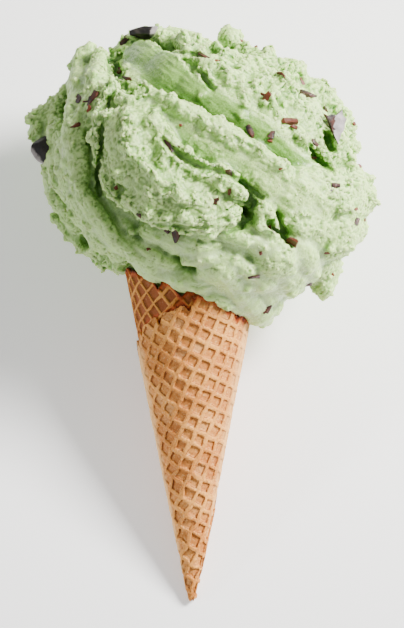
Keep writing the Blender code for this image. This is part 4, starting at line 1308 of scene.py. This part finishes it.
def shard_frost(vertex):
    """The face that shows is frosted, apart from a dark strip on its left."""
    off = vertex.co - shard_middle
    return 0.95 * (off.dot(face_way) > 0.1 * mm and off.dot(left_way) < 0.9 * mm)


add_bit(whole, bm, matrix, shard_frost, 0.0)
mesh = bpy.data.meshes.new("chocolate_shard")
whole.to_mesh(mesh)
whole.free()
piece = link_object("chocolate_shard", mesh, chocolate_finish)
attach(piece, "root")
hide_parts("chocolate_chunk_right")


# The floor, the light and the camera.
# The cone lies on a pale table top. A large soft light hangs above on the right, and the
# camera looks straight at the side that shows.

floor_mesh = bpy.data.meshes.new("table_top")
floor_mesh.from_pydata([(-3, -3, 0), (3, -3, 0), (3, 3, 0), (-3, 3, 0)], [], [(0, 1, 2, 3)])
floor_finish, w, shader = new_finish("pale_table")
shader.inputs["Base Color"].default_value = (0.94, 0.94, 0.94, 1)
shader.inputs["Emission Color"].default_value = (1, 1, 1, 1)
shader.inputs["Emission Strength"].default_value = 0.4
shader.inputs["Roughness"].default_value = 0.8
floor = link_object("table_top", floor_mesh, floor_finish)

world = bpy.data.worlds.new("studio")
world.use_nodes = True
world.node_tree.nodes["Background"].inputs["Color"].default_value = (1.0, 1.0, 1.0, 1)
world.node_tree.nodes["Background"].inputs["Strength"].default_value = 0.42
bpy.context.scene.world = world

target = Vector((3.7, 106.2, 0)) * mm


def hang_light(name, offset, size, power, colour):
    """A square soft light in the cone's own frame, aimed at the middle of the cone."""
    lamp = bpy.data.lights.new(name, "AREA")
    lamp.size = size
    lamp.energy = power
    lamp.color = colour
    holder = bpy.data.objects.new(name, lamp)
    bpy.context.scene.collection.objects.link(holder)
    place = lying @ (target + Vector(offset))
    aim = (lying @ target) - place
    holder.matrix_world = Matrix.Translation(place) @ aim.to_track_quat("-Z", "Y").to_matrix().to_4x4()


hang_light("key", (0.7, 0.5, 0.52), 0.32, 40, (1.0, 0.98, 0.95))
hang_light("fill", (-0.7, -0.1, 0.6), 0.8, 0.8, (0.95, 0.98, 1.0))

# A shaded lamp on the left is aimed at the wafer.
lamp = bpy.data.lights.new("wafer_light", "SPOT")
lamp.energy = 13
lamp.spot_size = math.radians(13)
lamp.spot_blend = 1.0
lamp.shadow_soft_size = 0.06
holder = bpy.data.objects.new("wafer_light", lamp)
bpy.context.scene.collection.objects.link(holder)
place = lying @ Vector((-0.62, -0.02, 0.3))
aim = lying @ Vector((0, 0.052, 0.01)) - place
holder.matrix_world = Matrix.Translation(place) @ aim.to_track_quat("-Z", "Y").to_matrix().to_4x4()

camera = bpy.data.objects.new("camera", bpy.data.cameras.new("camera"))
bpy.context.scene.collection.objects.link(camera)
camera.data.lens = 150
camera.data.sensor_width = 36
picture_height = 628 * 0.37 * mm
distance = picture_height * camera.data.lens / 36
camera.matrix_world = lying @ Matrix.Translation(target + Vector((0, 0, distance)))
bpy.context.scene.camera = camera
